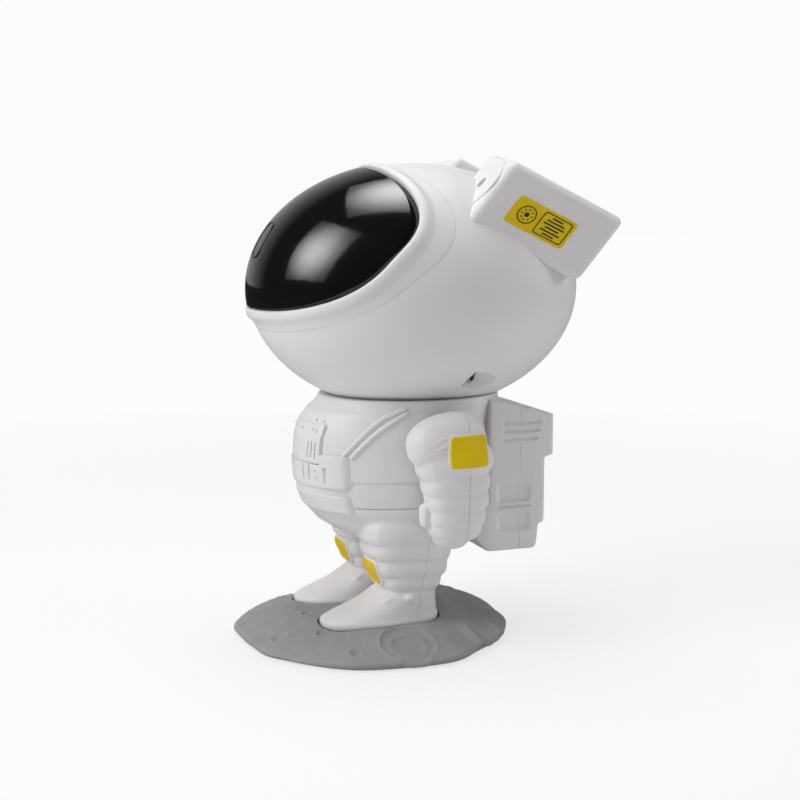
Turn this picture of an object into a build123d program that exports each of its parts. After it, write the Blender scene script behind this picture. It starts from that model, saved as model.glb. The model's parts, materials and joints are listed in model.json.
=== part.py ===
from build123d import *
import os
from math import cos, pi, radians, sin, sqrt

os.makedirs("parts", exist_ok=True)

# Driving dimensions in millimetres. The origin is the centre of the base's
# underside, +Z is up and the figure looks along -Y. Its left side is +X.

clearance = 0.15          # gap between two moulded parts that seat in each other
screw_clearance = 0.1     # round a screw's shank
running_fit = 0.05        # radial, round a shaft or pin that turns
wall = 2.4                # moulded shells

# moon rock base
base_radius = 62.5
base_top = 11.0
base_edge_height = 3.2
rock_point_count = 28
base_plateau_radius = 30.0
pad_radius = 46.0
pad_thickness = 0.8
base_plate_radius = 50.0
base_plate_thickness = 2.0
base_cavity_top = 8.0
ballast_radius = 36.0
ballast_thickness = 3.0
boot_recess_depth = 1.2
boot_recess_gap = 0.7
base_screw_circle = 44.0
base_screw_count = 4

# suit: belly, legs and boots
collar_top = 111.0
collar_height = 3.7
collar_half_width = 35.0
collar_half_depth = 38.4
collar_centre_y = 19.0
belly_half_width = 37.4
parting_top_y = 23.3
parting_foot_y = 10.5
leg_centre_x = 18.3
leg_half_width = 17.6
boot_length = 54.0
boot_width = 32.0
boot_centre_y = -2.0
boot_toe_height = 7.5
ankle_height = 25.0

# belt, strap and chest relief
relief = 1.6
belt_bottom = 73.7
belt_top = 87.5
belt_half_width = 28.5
flap_bottom = 63.2
flap_top = 69.4
flap_half_width = 28.0
groove_width = 1.2
groove_depth = 0.8

# arms
arm_inner_x = 38.6
arm_width = 21.6
shoulder_z = 92.0
shoulder_pin_radius = 3.0
shoulder_pin_head_radius = 5.2
shoulder_pin_head = 2.0
shoulder_boss_radius = 7.5
shoulder_boss_length = 11.0
patch_thickness = 1.4
patch_seat = 0.6           # how deep a yellow patch sits in its frame
patch_frame_rise = 0.6
arm_patch_length = 18.0
arm_patch_height = 14.0
arm_patch_z = 91.7
arm_patch_y = 24.0

# backpack
pack_half_width = 30.0
pack_front_y = 40.0
pack_back_y = 77.7
pack_bottom = 39.5
pack_front_top = 109.0
pack_back_top = 100.0
pack_step_z = 82.5
pack_step = 3.1
pack_foot_z = 58.5
pack_parting_y = 62.0

# helmet
helmet_centre_y = 21.7
helmet_centre_z = 158.5
helmet_half_width = 62.0
helmet_half_length = 76.0
helmet_half_height = 55.6
helmet_parting_y = 44.7
helmet_parting_z = 170.5
helmet_parting_tilt = 30.0

# visor and its raised bezel
visor_half_width = 54.6
visor_half_height = 37.0
visor_offset = 5.7
visor_tilt = 18.6
visor_squareness = 2.34
visor_bulge = 1.3
visor_thickness = 2.0
bezel_width = 3.6
bezel_proud = 2.2
bezel_depth = 1.0          # past the helmet's inner face
window_width = 9.0
window_length = 16.0

# lamp boxes on top of the helmet
lamp_centre_x = 36.0
lamp_width = 32.0
lamp_front_top = (47.5, 214.6)
lamp_rear_top = (101.6, 188.7)
lamp_rear_bottom = (78.8, 162.1)
lamp_front_bottom = (25.5, 188.7)
lamp_edge_radius = 4.0
lamp_wall = 2.2
lamp_disc_radius = 13.5
lamp_disc_thickness = 2.0
lamp_disc_proud = 0.6
lamp_disc_hole_radius = 2.6
lamp_disc_from_edge = 15.0

# neck
neck_flange_radius = 24.0
neck_flange_thickness = 2.6
neck_gap = 0.3
spigot_radius = 16.0
spigot_height = 2.1
magnet_radius = 11.0
magnet_thickness = 4.0
keeper_radius = 20.0
keeper_thickness = 1.5

# optics, measured along an axis that rises at optics_tilt
optics_tilt = 40.8
optics_y = -27.4
optics_z = 181.2
disc_teeth = 72
pinion_teeth = 12
gear_module = 0.6
gear_backlash = 0.12
disc_thickness = 2.5
disc_station = -30.0
disc_offset = 11.0
lens_radius = 10.0
barrel_wall = 1.6
barrel_length = 16.0
barrel_station = -24.5
carrier_thickness = 2.4
chassis_station = -36.0
chassis_thickness = 2.4
chassis_half_width = 31.0
chassis_half_height = 30.0
chassis_centre = 5.0
laser_radius = 6.0
laser_length = 20.0
laser_offset = -20.0
motor_radius = 10.0
motor_length = 14.0
motor_shaft_radius = 1.0

# controls on the back of the helmet
panel_y = 89.8
panel_z = 146.0
panel_width = 38.0
panel_height = 11.0
panel_thickness = 2.2
button_pitch = 12.0
button_radius = 3.6
button_gap = 0.2
button_flange = 1.0
button_flange_thickness = 1.2
button_proud = 1.6
button_travel = 0.8
usb_z = 129.0
usb_width = 9.0
usb_height = 3.3
usb_length = 7.4
usb_pocket_width = 13.0
usb_pocket_height = 7.6

parting_slope = (parting_top_y - parting_foot_y) / (collar_top - base_top)
far = 300.0


def parting_y(z):
    """Where the front and rear suit shells meet at height z."""
    return parting_foot_y + (z - base_top) * parting_slope


def save(piece, name):
    piece.label = name
    export_step(piece, f"parts/{name}.step")


def superellipse_points(half_x, half_y, power, count):
    points = []
    for step in range(count):
        turn = 2 * pi * step / count
        c, s = cos(turn), sin(turn)
        x = half_x * abs(c) ** (2 / power) * (1 if c >= 0 else -1)
        y = half_y * abs(s) ** (2 / power) * (1 if s >= 0 else -1)
        points.append((x, y))
    return points


def side_prism(corners, half_width, centre_x=0.0):
    """A prism across the figure from a side outline of (y, z) corners."""
    with BuildPart() as prism:
        with BuildSketch(Plane.YZ.offset(centre_x)):
            with BuildLine():
                Polyline(*corners, close=True)
            make_face()
        extrude(amount=half_width, both=True)
    return prism.part


def screws(spots, shank_radius, shank_length, head_radius, head_height, direction=(0, 0, 1)):
    """Pan head screws whose heads sit on spots and whose shanks point along direction."""
    with BuildPart() as group:
        for spot in spots:
            with BuildSketch(Plane(origin=spot, z_dir=direction)):
                Circle(shank_radius)
            extrude(amount=shank_length)
            with BuildSketch(Plane(origin=spot, z_dir=direction)):
                Circle(head_radius)
            extrude(amount=-head_height)
    return group.part


def rods(spots, radius, length, direction=(0, 0, 1)):
    with BuildPart() as group:
        for spot in spots:
            with BuildSketch(Plane(origin=spot, z_dir=direction)):
                Circle(radius)
            extrude(amount=length)
    return group.part


# ---------------------------------------------------------------- moon base

def base_height(radius):
    """Height of the rock's top at a distance from the middle."""
    if radius <= base_plateau_radius:
        return base_top
    share = (radius - base_plateau_radius) / (base_radius - base_plateau_radius)
    return base_top - (base_top - base_edge_height) * share ** 1.5


def rock_outline():
    """The rock's uneven edge."""
    points = []
    for step in range(rock_point_count):
        turn = 2 * pi * step / rock_point_count
        bump = 0.018 * sin(3 * turn + 0.6) + 0.012 * sin(5 * turn + 2.0) + 0.007 * sin(9 * turn)
        points.append((base_radius * (1 + bump) * cos(turn), base_radius * (1 + bump) * sin(turn)))
    return points


# x, y and radius of each crater
craters = [
    (45.5, 2.2, 10.4),
    (26.5, -32.0, 2.8),
    (23.0, -48.5, 4.2),
    (45.5, -21.0, 2.9),
    (-47.0, -31.0, 3.8),
    (-3.0, -37.5, 2.7),
    (-19.0, 44.5, 3.2),
    (-35.0, 37.0, 5.5),
    (20.0, 45.0, 4.6),
    (-49.0, 8.0, 6.0),
]
crater_rim = 0.9
crater_rim_foot = 1.28     # share of the crater's radius where the rim runs out
crater_depth_share = 0.2

base_screw_spots = [
    (base_screw_circle * cos(turn), base_screw_circle * sin(turn), pad_thickness + 1.0)
    for turn in [2 * pi * (step + 0.5) / base_screw_count for step in range(base_screw_count)]
]
base_screw_radius = 1.3
base_screw_length = 6.0
base_screw_head = 2.6
boot_screw_spots = [
    (side * leg_centre_x, y, base_cavity_top) for side in (-1, 1) for y in (boot_centre_y - 14, boot_centre_y + 14)
]
boot_screw_radius = 1.4
boot_screw_length = 9.0
boot_screw_head = 2.8


with BuildPart(mode=Mode.PRIVATE) as crater_rings:
    for x, y, radius in craters:
        height = base_height(sqrt(x * x + y * y))
        with Locations((x, y, height + crater_rim / 2)):
            Cone(radius * crater_rim_foot + 3 * crater_rim, radius, 3 * crater_rim)

with BuildPart(mode=Mode.PRIVATE) as crater_dishes:
    for x, y, radius in craters:
        height = base_height(sqrt(x * x + y * y))
        depth = radius * crater_depth_share
        ball = (radius * radius + depth * depth) / (2 * depth)
        with Locations((x, y, height + ball - depth + crater_rim * 0.4)):
            Sphere(ball)

with BuildPart() as moon_base:
    with BuildSketch(Plane.XZ):
        with BuildLine():
            reach = base_radius * 1.08 - base_plateau_radius
            slope_radii = [base_plateau_radius + reach * share for share in (0, 0.3, 0.6, 1.0)]
            top_line = Spline([(r, base_height(r)) for r in slope_radii])
            Polyline(
                top_line @ 1,
                (slope_radii[-1], pad_thickness),
                (0, pad_thickness),
                (0, base_top),
                top_line @ 0,
            )
        make_face()
    revolve(axis=Axis.Z)
    add(crater_rings.part)
    add(crater_dishes.part, mode=Mode.SUBTRACT)
    with BuildSketch(Plane.XY.offset(pad_thickness)):
        with BuildLine():
            Spline(rock_outline(), periodic=True)
        make_face()
    extrude(amount=far, mode=Mode.INTERSECT)
    with BuildSketch(Plane.XY.offset(base_top - boot_recess_depth)):
        with Locations(*[(side * leg_centre_x, boot_centre_y) for side in (-1, 1)]):
            SlotOverall(boot_length + 2 * boot_recess_gap, boot_width + 2 * boot_recess_gap, rotation=90)
    extrude(amount=far, mode=Mode.SUBTRACT)
    with BuildSketch(Plane.XY.offset(pad_thickness)):
        Circle(base_plate_radius + clearance)
    extrude(amount=base_plate_thickness, mode=Mode.SUBTRACT)
    with BuildSketch(Plane.XY.offset(pad_thickness + base_plate_thickness)):
        Circle(ballast_radius + 1.0)
    extrude(amount=base_cavity_top - pad_thickness - base_plate_thickness, mode=Mode.SUBTRACT)
    add(rods([(x, y, pad_thickness) for x, y, z in base_screw_spots],
             base_screw_radius + screw_clearance, base_screw_length + 2), mode=Mode.SUBTRACT)
    add(rods([(x, y, 0) for x, y, z in boot_screw_spots],
             boot_screw_radius + screw_clearance, far), mode=Mode.SUBTRACT)
save(moon_base.part, "moon_base")

with BuildPart() as base_plate:
    with BuildSketch(Plane.XY.offset(pad_thickness)):
        Circle(base_plate_radius)
    extrude(amount=base_plate_thickness)
    with BuildSketch(Plane.XY.offset(pad_thickness)):
        with PolarLocations(base_screw_circle, base_screw_count, start_angle=180 / base_screw_count):
            Circle(base_screw_radius + screw_clearance)
    extrude(amount=base_plate_thickness, mode=Mode.SUBTRACT)
    with BuildSketch(Plane.XY.offset(pad_thickness)):
        with PolarLocations(base_screw_circle, base_screw_count, start_angle=180 / base_screw_count):
            Circle(base_screw_head + screw_clearance)
    extrude(amount=1.0, mode=Mode.SUBTRACT)
save(base_plate.part, "base_plate")

save(screws(base_screw_spots, base_screw_radius, base_screw_length, base_screw_head, 0.9), "base_screws")

with BuildPart() as non_slip_pad:
    Cylinder(pad_radius, pad_thickness, align=(Align.CENTER, Align.CENTER, Align.MIN))
save(non_slip_pad.part, "non_slip_pad")

with BuildPart() as ballast_plate:
    with BuildSketch(Plane.XY.offset(pad_thickness + base_plate_thickness)):
        Circle(ballast_radius)
    extrude(amount=ballast_thickness)
save(ballast_plate.part, "ballast_plate")

save(screws(boot_screw_spots, boot_screw_radius, boot_screw_length, boot_screw_head, 1.9), "boot_screws")

# ---------------------------------------------------------------- suit

# height, half depth and centre of the belly's sections
belly_sections = [
    (50.0, 32.0, 15.0),
    (54.5, 37.5, 13.5),
    (61.5, 43.0, 12.6),
    (68.0, 44.6, 11.4),
    (86.0, 45.3, 10.7),
    (94.0, 44.9, 11.1),
    (99.0, 44.0, 12.0),
    (104.5, 41.5, 14.5),
    (108.0, 39.0, 17.5),
]


def belly(grow, bottom=None):
    with BuildPart() as body:
        for z, half_depth, centre_y in belly_sections:
            narrowing = min(1.0, (half_depth + 4) / 44.0)
            with BuildSketch(Plane.XY.offset(z)):
                with Locations((0, centre_y)):
                    Ellipse(belly_half_width * narrowing + grow, half_depth + grow)
        loft()
    return body.part


def roll(low, high, centre_x, centre_y, half_x, half_y, rounding):
    """One puffy roll of a limb, rounded off at its top and bottom."""
    bulge = min(rounding, (high - low) / 2.2)
    height = high - low
    with BuildPart() as ring:
        for share, inset in ((0, 1.0), (0.12, 0.45), (0.32, 0.08), (0.5, 0), (0.68, 0.08), (0.88, 0.45), (1, 1.0)):
            with BuildSketch(Plane.XY.offset(low + share * height)):
                with Locations((centre_x, centre_y)):
                    Ellipse(half_x - inset * bulge, half_y - inset * bulge)
        loft()
    return ring.part


def limb(sections, centre_x, rounding):
    """Rolls stacked on each other: bottom, top, half width, half depth, centre."""
    rings = [
        roll(low, high, centre_x, centre_y, half_x, half_y, rounding)
        for low, high, half_x, half_y, centre_y in sections
    ]
    with BuildPart() as stack:
        add(rings)
    return stack.part


leg_rolls = [
    (22.0, 29.0, 14.6, 15.6, 8.2),
    (28.0, 35.5, 15.6, 16.8, 9.2),
    (34.5, 43.0, 16.8, 18.4, 10.4),
    (42.0, 52.0, 17.4, 19.4, 12.0),
]

boot_sections = [
    # height above the sole, length, width, centre y
    (-boot_recess_depth, boot_length, boot_width, boot_centre_y),
    (boot_toe_height * 0.6, boot_length - 1.0, boot_width - 0.5, boot_centre_y + 0.5),
    (boot_toe_height, boot_length - 8.0, boot_width - 3.0, boot_centre_y + 3.5),
    (ankle_height - base_top, boot_length - 21.0, boot_width - 5.0, boot_centre_y + 9.5),
]


def boot(side):
    with BuildPart() as shoe:
        for height, length, width, centre_y in boot_sections:
            with BuildSketch(Plane.XY.offset(base_top + height)):
                with Locations((side * leg_centre_x, centre_y)):
                    SlotOverall(length, width, rotation=90)
        loft()
    return shoe.part


belly_outer = belly(0)
belly_relief = belly(relief)

neck_recess_z = collar_top + neck_gap - neck_flange_thickness
deck_thickness = 3.0
shoulder_y = parting_y(shoulder_z)
leg_core_low = 24.0
leg_core_high = 55.0


def slab(low, high):
    with BuildPart() as layer:
        with BuildSketch(Plane.XY.offset(low)):
            Rectangle(far, far)
        extrude(amount=high - low)
    return layer.part


# side outline of the chest strap: its upper edge, then its lower edge back down, as (y, z)
strap_edges = [
    (-21.5, 86.5), (-15.8, 94.4), (-9.2, 100.9), (-1.9, 106.0), (5.2, 108.6),
    (7.0, 106.2), (1.1, 103.6), (-5.7, 99.3), (-12.0, 93.2), (-17.4, 86.5),
]
# centre x, low z, high z and lean of the sunk slots on the belt panel and the chest
belt_slots = [(13.1, 75.5, 82.1), (21.1, 74.6, 81.8)]
chest_slots = [(12.1, 90.2, 96.0), (14.6, 90.2, 96.0), (17.0, 90.2, 96.0)]
slot_width = 1.3
slot_depth = 1.0
chest_bar_x = 19.6
chest_bar_width = 2.2
chest_bar_height = 10.5


def front_block(centre_x, width, low, high, back_y=0.0):
    """A block from the far front to back_y, over a stretch of height."""
    with BuildPart() as block:
        with BuildSketch(Plane.XZ.offset(-back_y)):
            with Locations((centre_x, (low + high) / 2)):
                Rectangle(width, high - low)
        extrude(amount=far)
    return block.part


with BuildPart() as relief_zones:
    # belt panel across the front, the flap under it and a bar on each side of the chest
    add(front_block(0, 2 * belt_half_width, belt_bottom, belt_top))
    add(front_block(0, 2 * flap_half_width, flap_bottom, flap_top))
    for side in (-1, 1):
        add(front_block(side * chest_bar_x, chest_bar_width, belt_top + 1.2, belt_top + 1.2 + chest_bar_height))
    # straps from the panel's corners over the shoulders
    add(side_prism(strap_edges, 2 * belly_half_width))

with BuildPart() as sunk_slots:
    for side in (-1, 1):
        for x, low, high in belt_slots + chest_slots:
            add(front_block(side * x, slot_width, low, high))

with BuildPart() as belt_grooves:
    for groove_z in (belt_bottom - 1.6, flap_bottom - 1.4):
        add(slab(groove_z, groove_z + groove_width))
    add(belly(-groove_depth), mode=Mode.SUBTRACT)

with BuildPart() as belt_slot_cuts:
    add(sunk_slots.part)
    add(belly(relief - slot_depth), mode=Mode.SUBTRACT)

with BuildPart() as suit_cavity:
    add(belly(-wall))
    add(slab(53.0, neck_recess_z - deck_thickness), mode=Mode.INTERSECT)
    with BuildSketch(Plane.XY.offset(leg_core_low)):
        for side in (-1, 1):
            with Locations((side * leg_centre_x, 10.5)):
                Ellipse(leg_half_width - 5.5, 12.5)
    extrude(amount=leg_core_high - leg_core_low)

with BuildPart() as shoulder_bosses:
    boss_outer_x = arm_inner_x - neck_gap
    for side in (-1, 1):
        with BuildSketch(Plane(origin=(side * boss_outer_x, shoulder_y, shoulder_z), z_dir=(side, 0, 0))):
            Circle(shoulder_boss_radius)
        extrude(amount=-shoulder_boss_length)


def knee_prism(side, grow):
    """The leg's round form behind a knee patch."""
    with BuildPart() as prism:
        with BuildSketch(Plane.XY.offset(knee_patch_z - knee_patch_height)):
            with Locations((side * leg_centre_x, 9.8)):
                Ellipse(leg_half_width - 1.0 + grow, 18.2 + grow)
        extrude(amount=2 * knee_patch_height)
    return prism.part


def knee_window(side, grow):
    turn = radians(knee_patch_turn)
    with BuildPart() as window:
        with BuildSketch(Plane(
            origin=(side * leg_centre_x, 9.8, knee_patch_z),
            x_dir=(cos(turn), side * sin(turn), 0),
            z_dir=(side * sin(turn), -cos(turn), 0),
        )):
            RectangleRounded(knee_patch_width + 2 * grow, knee_patch_height + 2 * grow, 1.2)
        extrude(amount=40)
    return window.part


def curved_plate(body, inner, window):
    """The layer between two forms, cut to a window."""
    with BuildPart() as plate:
        add(body)
        add(inner, mode=Mode.SUBTRACT)
        add(window, mode=Mode.INTERSECT)
    return plate.part


knee_patch_z = 35.2
knee_patch_height = 9.5
knee_patch_width = 12.0
knee_patch_turn = 30.0
knee_frame = 1.2

with BuildPart() as suit_core:
    add(suit_cavity.part)
    add(shoulder_bosses.part, mode=Mode.SUBTRACT)

with BuildPart() as suit_form:
    add(belly_relief)
    add(relief_zones.part, mode=Mode.INTERSECT)
    add(belly_outer)
    add(belt_grooves.part, mode=Mode.SUBTRACT)
    add(belt_slot_cuts.part, mode=Mode.SUBTRACT)
    with BuildSketch(Plane.XY.offset(collar_top - collar_height)):
        with Locations((0, collar_centre_y)):
            Ellipse(collar_half_width, collar_half_depth)
    extrude(amount=collar_height)
    for side in (-1, 1):
        add(limb(leg_rolls, side * leg_centre_x, 2.2))
        add(boot(side))
        add(curved_plate(knee_prism(side, patch_frame_rise), suit_cavity.part, knee_window(side, knee_frame)))
        add(curved_plate(knee_prism(side, 6), knee_prism(side, -patch_seat), knee_window(side, clearance)),
            mode=Mode.SUBTRACT)
    add(shoulder_bosses.part)

suit_parting = Plane(
    origin=(0, parting_y(shoulder_z), shoulder_z), x_dir=(1, 0, 0), z_dir=(0, -1, parting_slope))


def suit_shell(keep):
    """One half of the suit, hollowed, with its half of the bearings and its screw holes."""
    with BuildPart() as shell:
        add(suit_form.part)
        split(bisect_by=suit_parting, keep=keep)
        add(suit_core.part, mode=Mode.SUBTRACT)
        with BuildSketch(Plane.YZ):
            with Locations((shoulder_y, shoulder_z)):
                Circle(shoulder_pin_radius + running_fit)
        extrude(amount=far, both=True, mode=Mode.SUBTRACT)
        with BuildSketch(Plane.XY.offset(neck_recess_z)):
            with Locations((0, collar_centre_y)):
                Circle(neck_flange_radius + clearance)
        extrude(amount=far, mode=Mode.SUBTRACT)
        add(rods(boot_screw_spots, boot_screw_radius + screw_clearance, boot_screw_length + 1),
            mode=Mode.SUBTRACT)
    return shell.part


suit_front = suit_shell(Keep.TOP)
save(suit_front, "suit_front")
suit_rear = suit_shell(Keep.BOTTOM)
save(suit_rear, "suit_rear")

for side, name in ((1, "left"), (-1, "right")):
    save(
        curved_plate(knee_prism(side, patch_thickness - patch_seat), knee_prism(side, -patch_seat), knee_window(side, 0)),
        f"{name}_knee_patch",
    )


# ---------------------------------------------------------------- arms

# bottom, top, half width, half depth and centre of each roll of a sleeve
sleeve_rolls = [
    (75.5, 85.5, 10.4, 16.8, 20.6),
    (68.5, 77.0, 10.0, 15.2, 22.0),
    (61.5, 70.0, 10.4, 14.6, 22.8),
]
# height, half width, half depth and centre of the shoulder's sections
shoulder_sections = [
    (82.5, 9.6, 16.8, 20.0),
    (87.0, 10.7, 18.8, 19.8),
    (94.0, 10.8, 19.4, 19.6),
    (100.5, 10.2, 18.0, 19.6),
    (105.0, 8.4, 14.5, 19.8),
    (107.6, 5.2, 9.5, 20.0),
]
hand_roll = (47.8, 63.5, 8.6, 11.6, 20.0)
thumb_roll = (57.0, 68.5, 4.6, 4.6, 10.6)
arm_centre_x = arm_inner_x + arm_width / 2
arm_parting_y = 24.9
arm_core_half_x = 7.6
arm_core_half_y = 12.5
arm_frame = 1.3


def shoulder_form(side, grow):
    with BuildPart() as form:
        for z, half_x, half_y, centre_y in shoulder_sections:
            with BuildSketch(Plane.XY.offset(z)):
                with Locations((side * arm_centre_x, centre_y)):
                    Ellipse(half_x + grow, half_y + grow)
        loft()
    return form.part


def arm_window(side, grow):
    with BuildPart() as window:
        with BuildSketch(Plane.YZ.offset(side * arm_centre_x)):
            with Locations((arm_patch_y, arm_patch_z)):
                RectangleRounded(arm_patch_length + 2 * grow, arm_patch_height + 2 * grow, 1.5)
        extrude(amount=side * 40)
    return window.part


def arm(side):
    pin_tip = side * (arm_inner_x + shoulder_pin_grip)
    with BuildPart() as sleeve:
        add(shoulder_form(side, 0))
        add(limb(sleeve_rolls, side * arm_centre_x, 2.6))
        for low, high, half_x, half_y, centre_y in (hand_roll, thumb_roll):
            add(roll(low, high, side * arm_centre_x, centre_y, half_x, half_y, 2.6))
        add(curved_plate(shoulder_form(side, patch_frame_rise), shoulder_form(side, -2), arm_window(side, arm_frame)))
        add(curved_plate(shoulder_form(side, 6), shoulder_form(side, -patch_seat), arm_window(side, clearance)),
            mode=Mode.SUBTRACT)
        with BuildSketch(Plane.XY.offset(66)):
            with Locations((side * arm_centre_x, shoulder_y)):
                Ellipse(arm_core_half_x, arm_core_half_y)
        extrude(amount=36, mode=Mode.SUBTRACT)
        with BuildSketch(Plane(origin=(side * (arm_inner_x + 1), shoulder_y, shoulder_z), z_dir=(side, 0, 0))):
            Circle(shoulder_pin_radius + 2.2)
        extrude(amount=shoulder_pin_grip)
        with BuildSketch(Plane(origin=(side * arm_inner_x, shoulder_y, shoulder_z), z_dir=(side, 0, 0))):
            Circle(shoulder_pin_radius + running_fit)
        extrude(amount=shoulder_pin_grip - 1, both=True, mode=Mode.SUBTRACT)
    return sleeve.part


shoulder_pin_grip = 9.0

for side, name in ((1, "left"), (-1, "right")):
    whole_arm = arm(side)
    arm_parting = Plane(origin=(0, arm_parting_y, 0), x_dir=(1, 0, 0), z_dir=(0, -1, 0))
    with BuildPart() as arm_front:
        add(whole_arm)
        split(bisect_by=arm_parting, keep=Keep.TOP)
    save(arm_front.part, f"{name}_arm_front")
    with BuildPart() as arm_rear:
        add(whole_arm)
        split(bisect_by=arm_parting, keep=Keep.BOTTOM)
    save(arm_rear.part, f"{name}_arm_rear")
    save(
        curved_plate(
            shoulder_form(side, patch_thickness - patch_seat), shoulder_form(side, -patch_seat), arm_window(side, 0)),
        f"{name}_arm_patch",
    )
    inner_x = boss_outer_x - shoulder_boss_length - clearance
    save(
        screws(
            [(side * inner_x, shoulder_y, shoulder_z)],
            shoulder_pin_radius,
            arm_inner_x + shoulder_pin_grip - 1.5 - inner_x,
            shoulder_pin_head_radius,
            shoulder_pin_head,
            (side, 0, 0),
        ),
        f"{name}_shoulder_pin",
    )


# ---------------------------------------------------------------- backpack

pack_outline = [
    (pack_front_y, pack_bottom + 6.5),
    (pack_front_y + 5.5, pack_bottom),
    (pack_back_y - 7.0, pack_bottom),
    (pack_back_y - 5.8, pack_foot_z - 5.0),
    (pack_back_y - pack_step, pack_foot_z),
    (pack_back_y - pack_step, pack_step_z),
    (pack_back_y, pack_step_z),
    (pack_back_y, pack_back_top + 1.8),
    (pack_front_y + 9.0, pack_front_top),
    (pack_front_y, pack_front_top),
]
# sunk panels on the pack's sides: centre y and z, length, height
pack_panels = [(59.0, 66.6, 16.0, 9.6), (59.0, 53.2, 16.0, 9.0)]
pack_panel_depth = 0.9
pack_corner = 1.5
pack_edge = 1.5
pack_wall = 2.2
vent_count = 3
vent_pitch = 3.9
vent_top_z = 98.5
vent_width = 1.4
vent_length = 18.0
vent_centre_y = 62.7
vent_depth = 0.9


with BuildPart() as pack_block:
    with BuildSketch(Plane.YZ) as pack_side:
        with BuildLine():
            Polyline(*pack_outline, close=True)
        make_face()
        fillet(pack_side.vertices(), pack_corner)
    extrude(amount=pack_half_width, both=True)
    fillet(pack_block.faces().filter_by(Axis.X).edges(), pack_edge)

with BuildPart() as backpack:
    add(pack_block.part)
    # vents on both side faces
    for side in (-1, 1):
        for step in range(vent_count):
            with Locations((side * pack_half_width, vent_centre_y, vent_top_z - step * vent_pitch)):
                Box(2 * vent_depth, vent_length, vent_width, mode=Mode.SUBTRACT)
        for y, z, length, height in pack_panels:
            with Locations((side * pack_half_width, y, z)):
                Box(2 * pack_panel_depth, length, height, mode=Mode.SUBTRACT)
    # inside, behind the moulded saddle
    with Locations((0, (58.5 + pack_back_y - pack_step - pack_wall) / 2, (pack_foot_z + pack_back_top) / 2)):
        Box(2 * (pack_half_width - pack_wall), pack_back_y - pack_step - pack_wall - 58.5,
            pack_back_top - pack_foot_z - 2 * pack_wall, mode=Mode.SUBTRACT)
    add(belly(clearance), mode=Mode.SUBTRACT)
    with BuildSketch(Plane.XY.offset(collar_top - collar_height)):
        with Locations((0, collar_centre_y)):
            Ellipse(collar_half_width + clearance, collar_half_depth + clearance)
    extrude(amount=collar_height, mode=Mode.SUBTRACT)
    for side in (-1, 1):
        add(limb([(leg_rolls[-1][0], leg_rolls[-1][1], leg_half_width + 1, leg_rolls[-1][3] + 1, 12.0)],
                 side * leg_centre_x, 0.5), mode=Mode.SUBTRACT)

pack_parting = Plane(origin=(0, pack_parting_y, 0), x_dir=(1, 0, 0), z_dir=(0, -1, 0))
with BuildPart() as backpack_shell:
    add(backpack.part)
    split(bisect_by=pack_parting, keep=Keep.TOP)
save(backpack_shell.part, "backpack_shell")
with BuildPart() as backpack_cover:
    add(backpack.part)
    split(bisect_by=pack_parting, keep=Keep.BOTTOM)
save(backpack_cover.part, "backpack_cover")


# ---------------------------------------------------------------- neck

neck_top = collar_top + neck_gap
with BuildPart() as neck_bearing:
    with BuildSketch(Plane.XY.offset(neck_recess_z)):
        with Locations((0, collar_centre_y)):
            Circle(neck_flange_radius)
    extrude(amount=neck_flange_thickness)
    with BuildSketch(Plane.XY.offset(neck_top)):
        with Locations((0, collar_centre_y)):
            Circle(spigot_radius)
    extrude(amount=spigot_height)
    with BuildSketch(Plane.XY.offset(neck_top + spigot_height - magnet_thickness)):
        with Locations((0, collar_centre_y)):
            Circle(magnet_radius + clearance)
    extrude(amount=magnet_thickness, mode=Mode.SUBTRACT)
    chamfer(neck_bearing.edges().filter_by(GeomType.CIRCLE).group_by(Axis.Z)[-1].sort_by(SortBy.LENGTH)[-1], 0.4)
save(neck_bearing.part, "neck_bearing")

with BuildPart() as neck_magnet:
    with BuildSketch(Plane.XY.offset(neck_top + spigot_height - magnet_thickness)):
        with Locations((0, collar_centre_y)):
            Circle(magnet_radius)
    extrude(amount=magnet_thickness)
save(neck_magnet.part, "neck_magnet")


# ---------------------------------------------------------------- helmet

def ellipsoid(grow):
    """The helmet's round form, grown or shrunk all over."""
    with BuildPart() as ball:
        Sphere(1.0)
        scale(by=(helmet_half_width + grow, helmet_half_length + grow, helmet_half_height + grow))
    return ball.part.moved(Location((0, helmet_centre_y, helmet_centre_z)))


def visor_plane():
    tilt = radians(visor_tilt)
    origin = (0, helmet_centre_y + visor_offset * sin(tilt), helmet_centre_z + visor_offset * cos(tilt))
    return Plane(origin=origin, x_dir=(1, 0, 0), z_dir=(0, -cos(tilt), sin(tilt)))


def aperture(grow):
    """The visor's outline, carried forward as a prism."""
    with BuildPart() as prism:
        with BuildSketch(visor_plane()):
            with BuildLine():
                Spline(
                    superellipse_points(
                        visor_half_width + grow, visor_half_height + grow, visor_squareness, 16),
                    periodic=True,
                )
            make_face()
        extrude(amount=2 * helmet_half_length)
    return prism.part


optics_rise = radians(optics_tilt)
optics_axis = Vector(0, -cos(optics_rise), sin(optics_rise))
optics_up = Vector(0, sin(optics_rise), cos(optics_rise))


def optics_plane(station, height=0.0):
    """A plane across the light's path; height is measured up the plane."""
    origin = Vector(0, optics_y, optics_z) + optics_axis * station + optics_up * height
    return Plane(origin=origin, x_dir=(1, 0, 0), z_dir=optics_axis)


helmet_outer = ellipsoid(0)
helmet_inner = ellipsoid(-wall)

helmet_lean = radians(helmet_parting_tilt)
helmet_parting = Plane(
    origin=(0, helmet_parting_y, helmet_parting_z), x_dir=(1, 0, 0), z_dir=(0, -cos(helmet_lean), sin(helmet_lean)))
usb_mouth_y = 82.0

# side outline of a lamp box
lamp_corners = [lamp_front_top, lamp_rear_top, lamp_rear_bottom, lamp_front_bottom]


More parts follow.
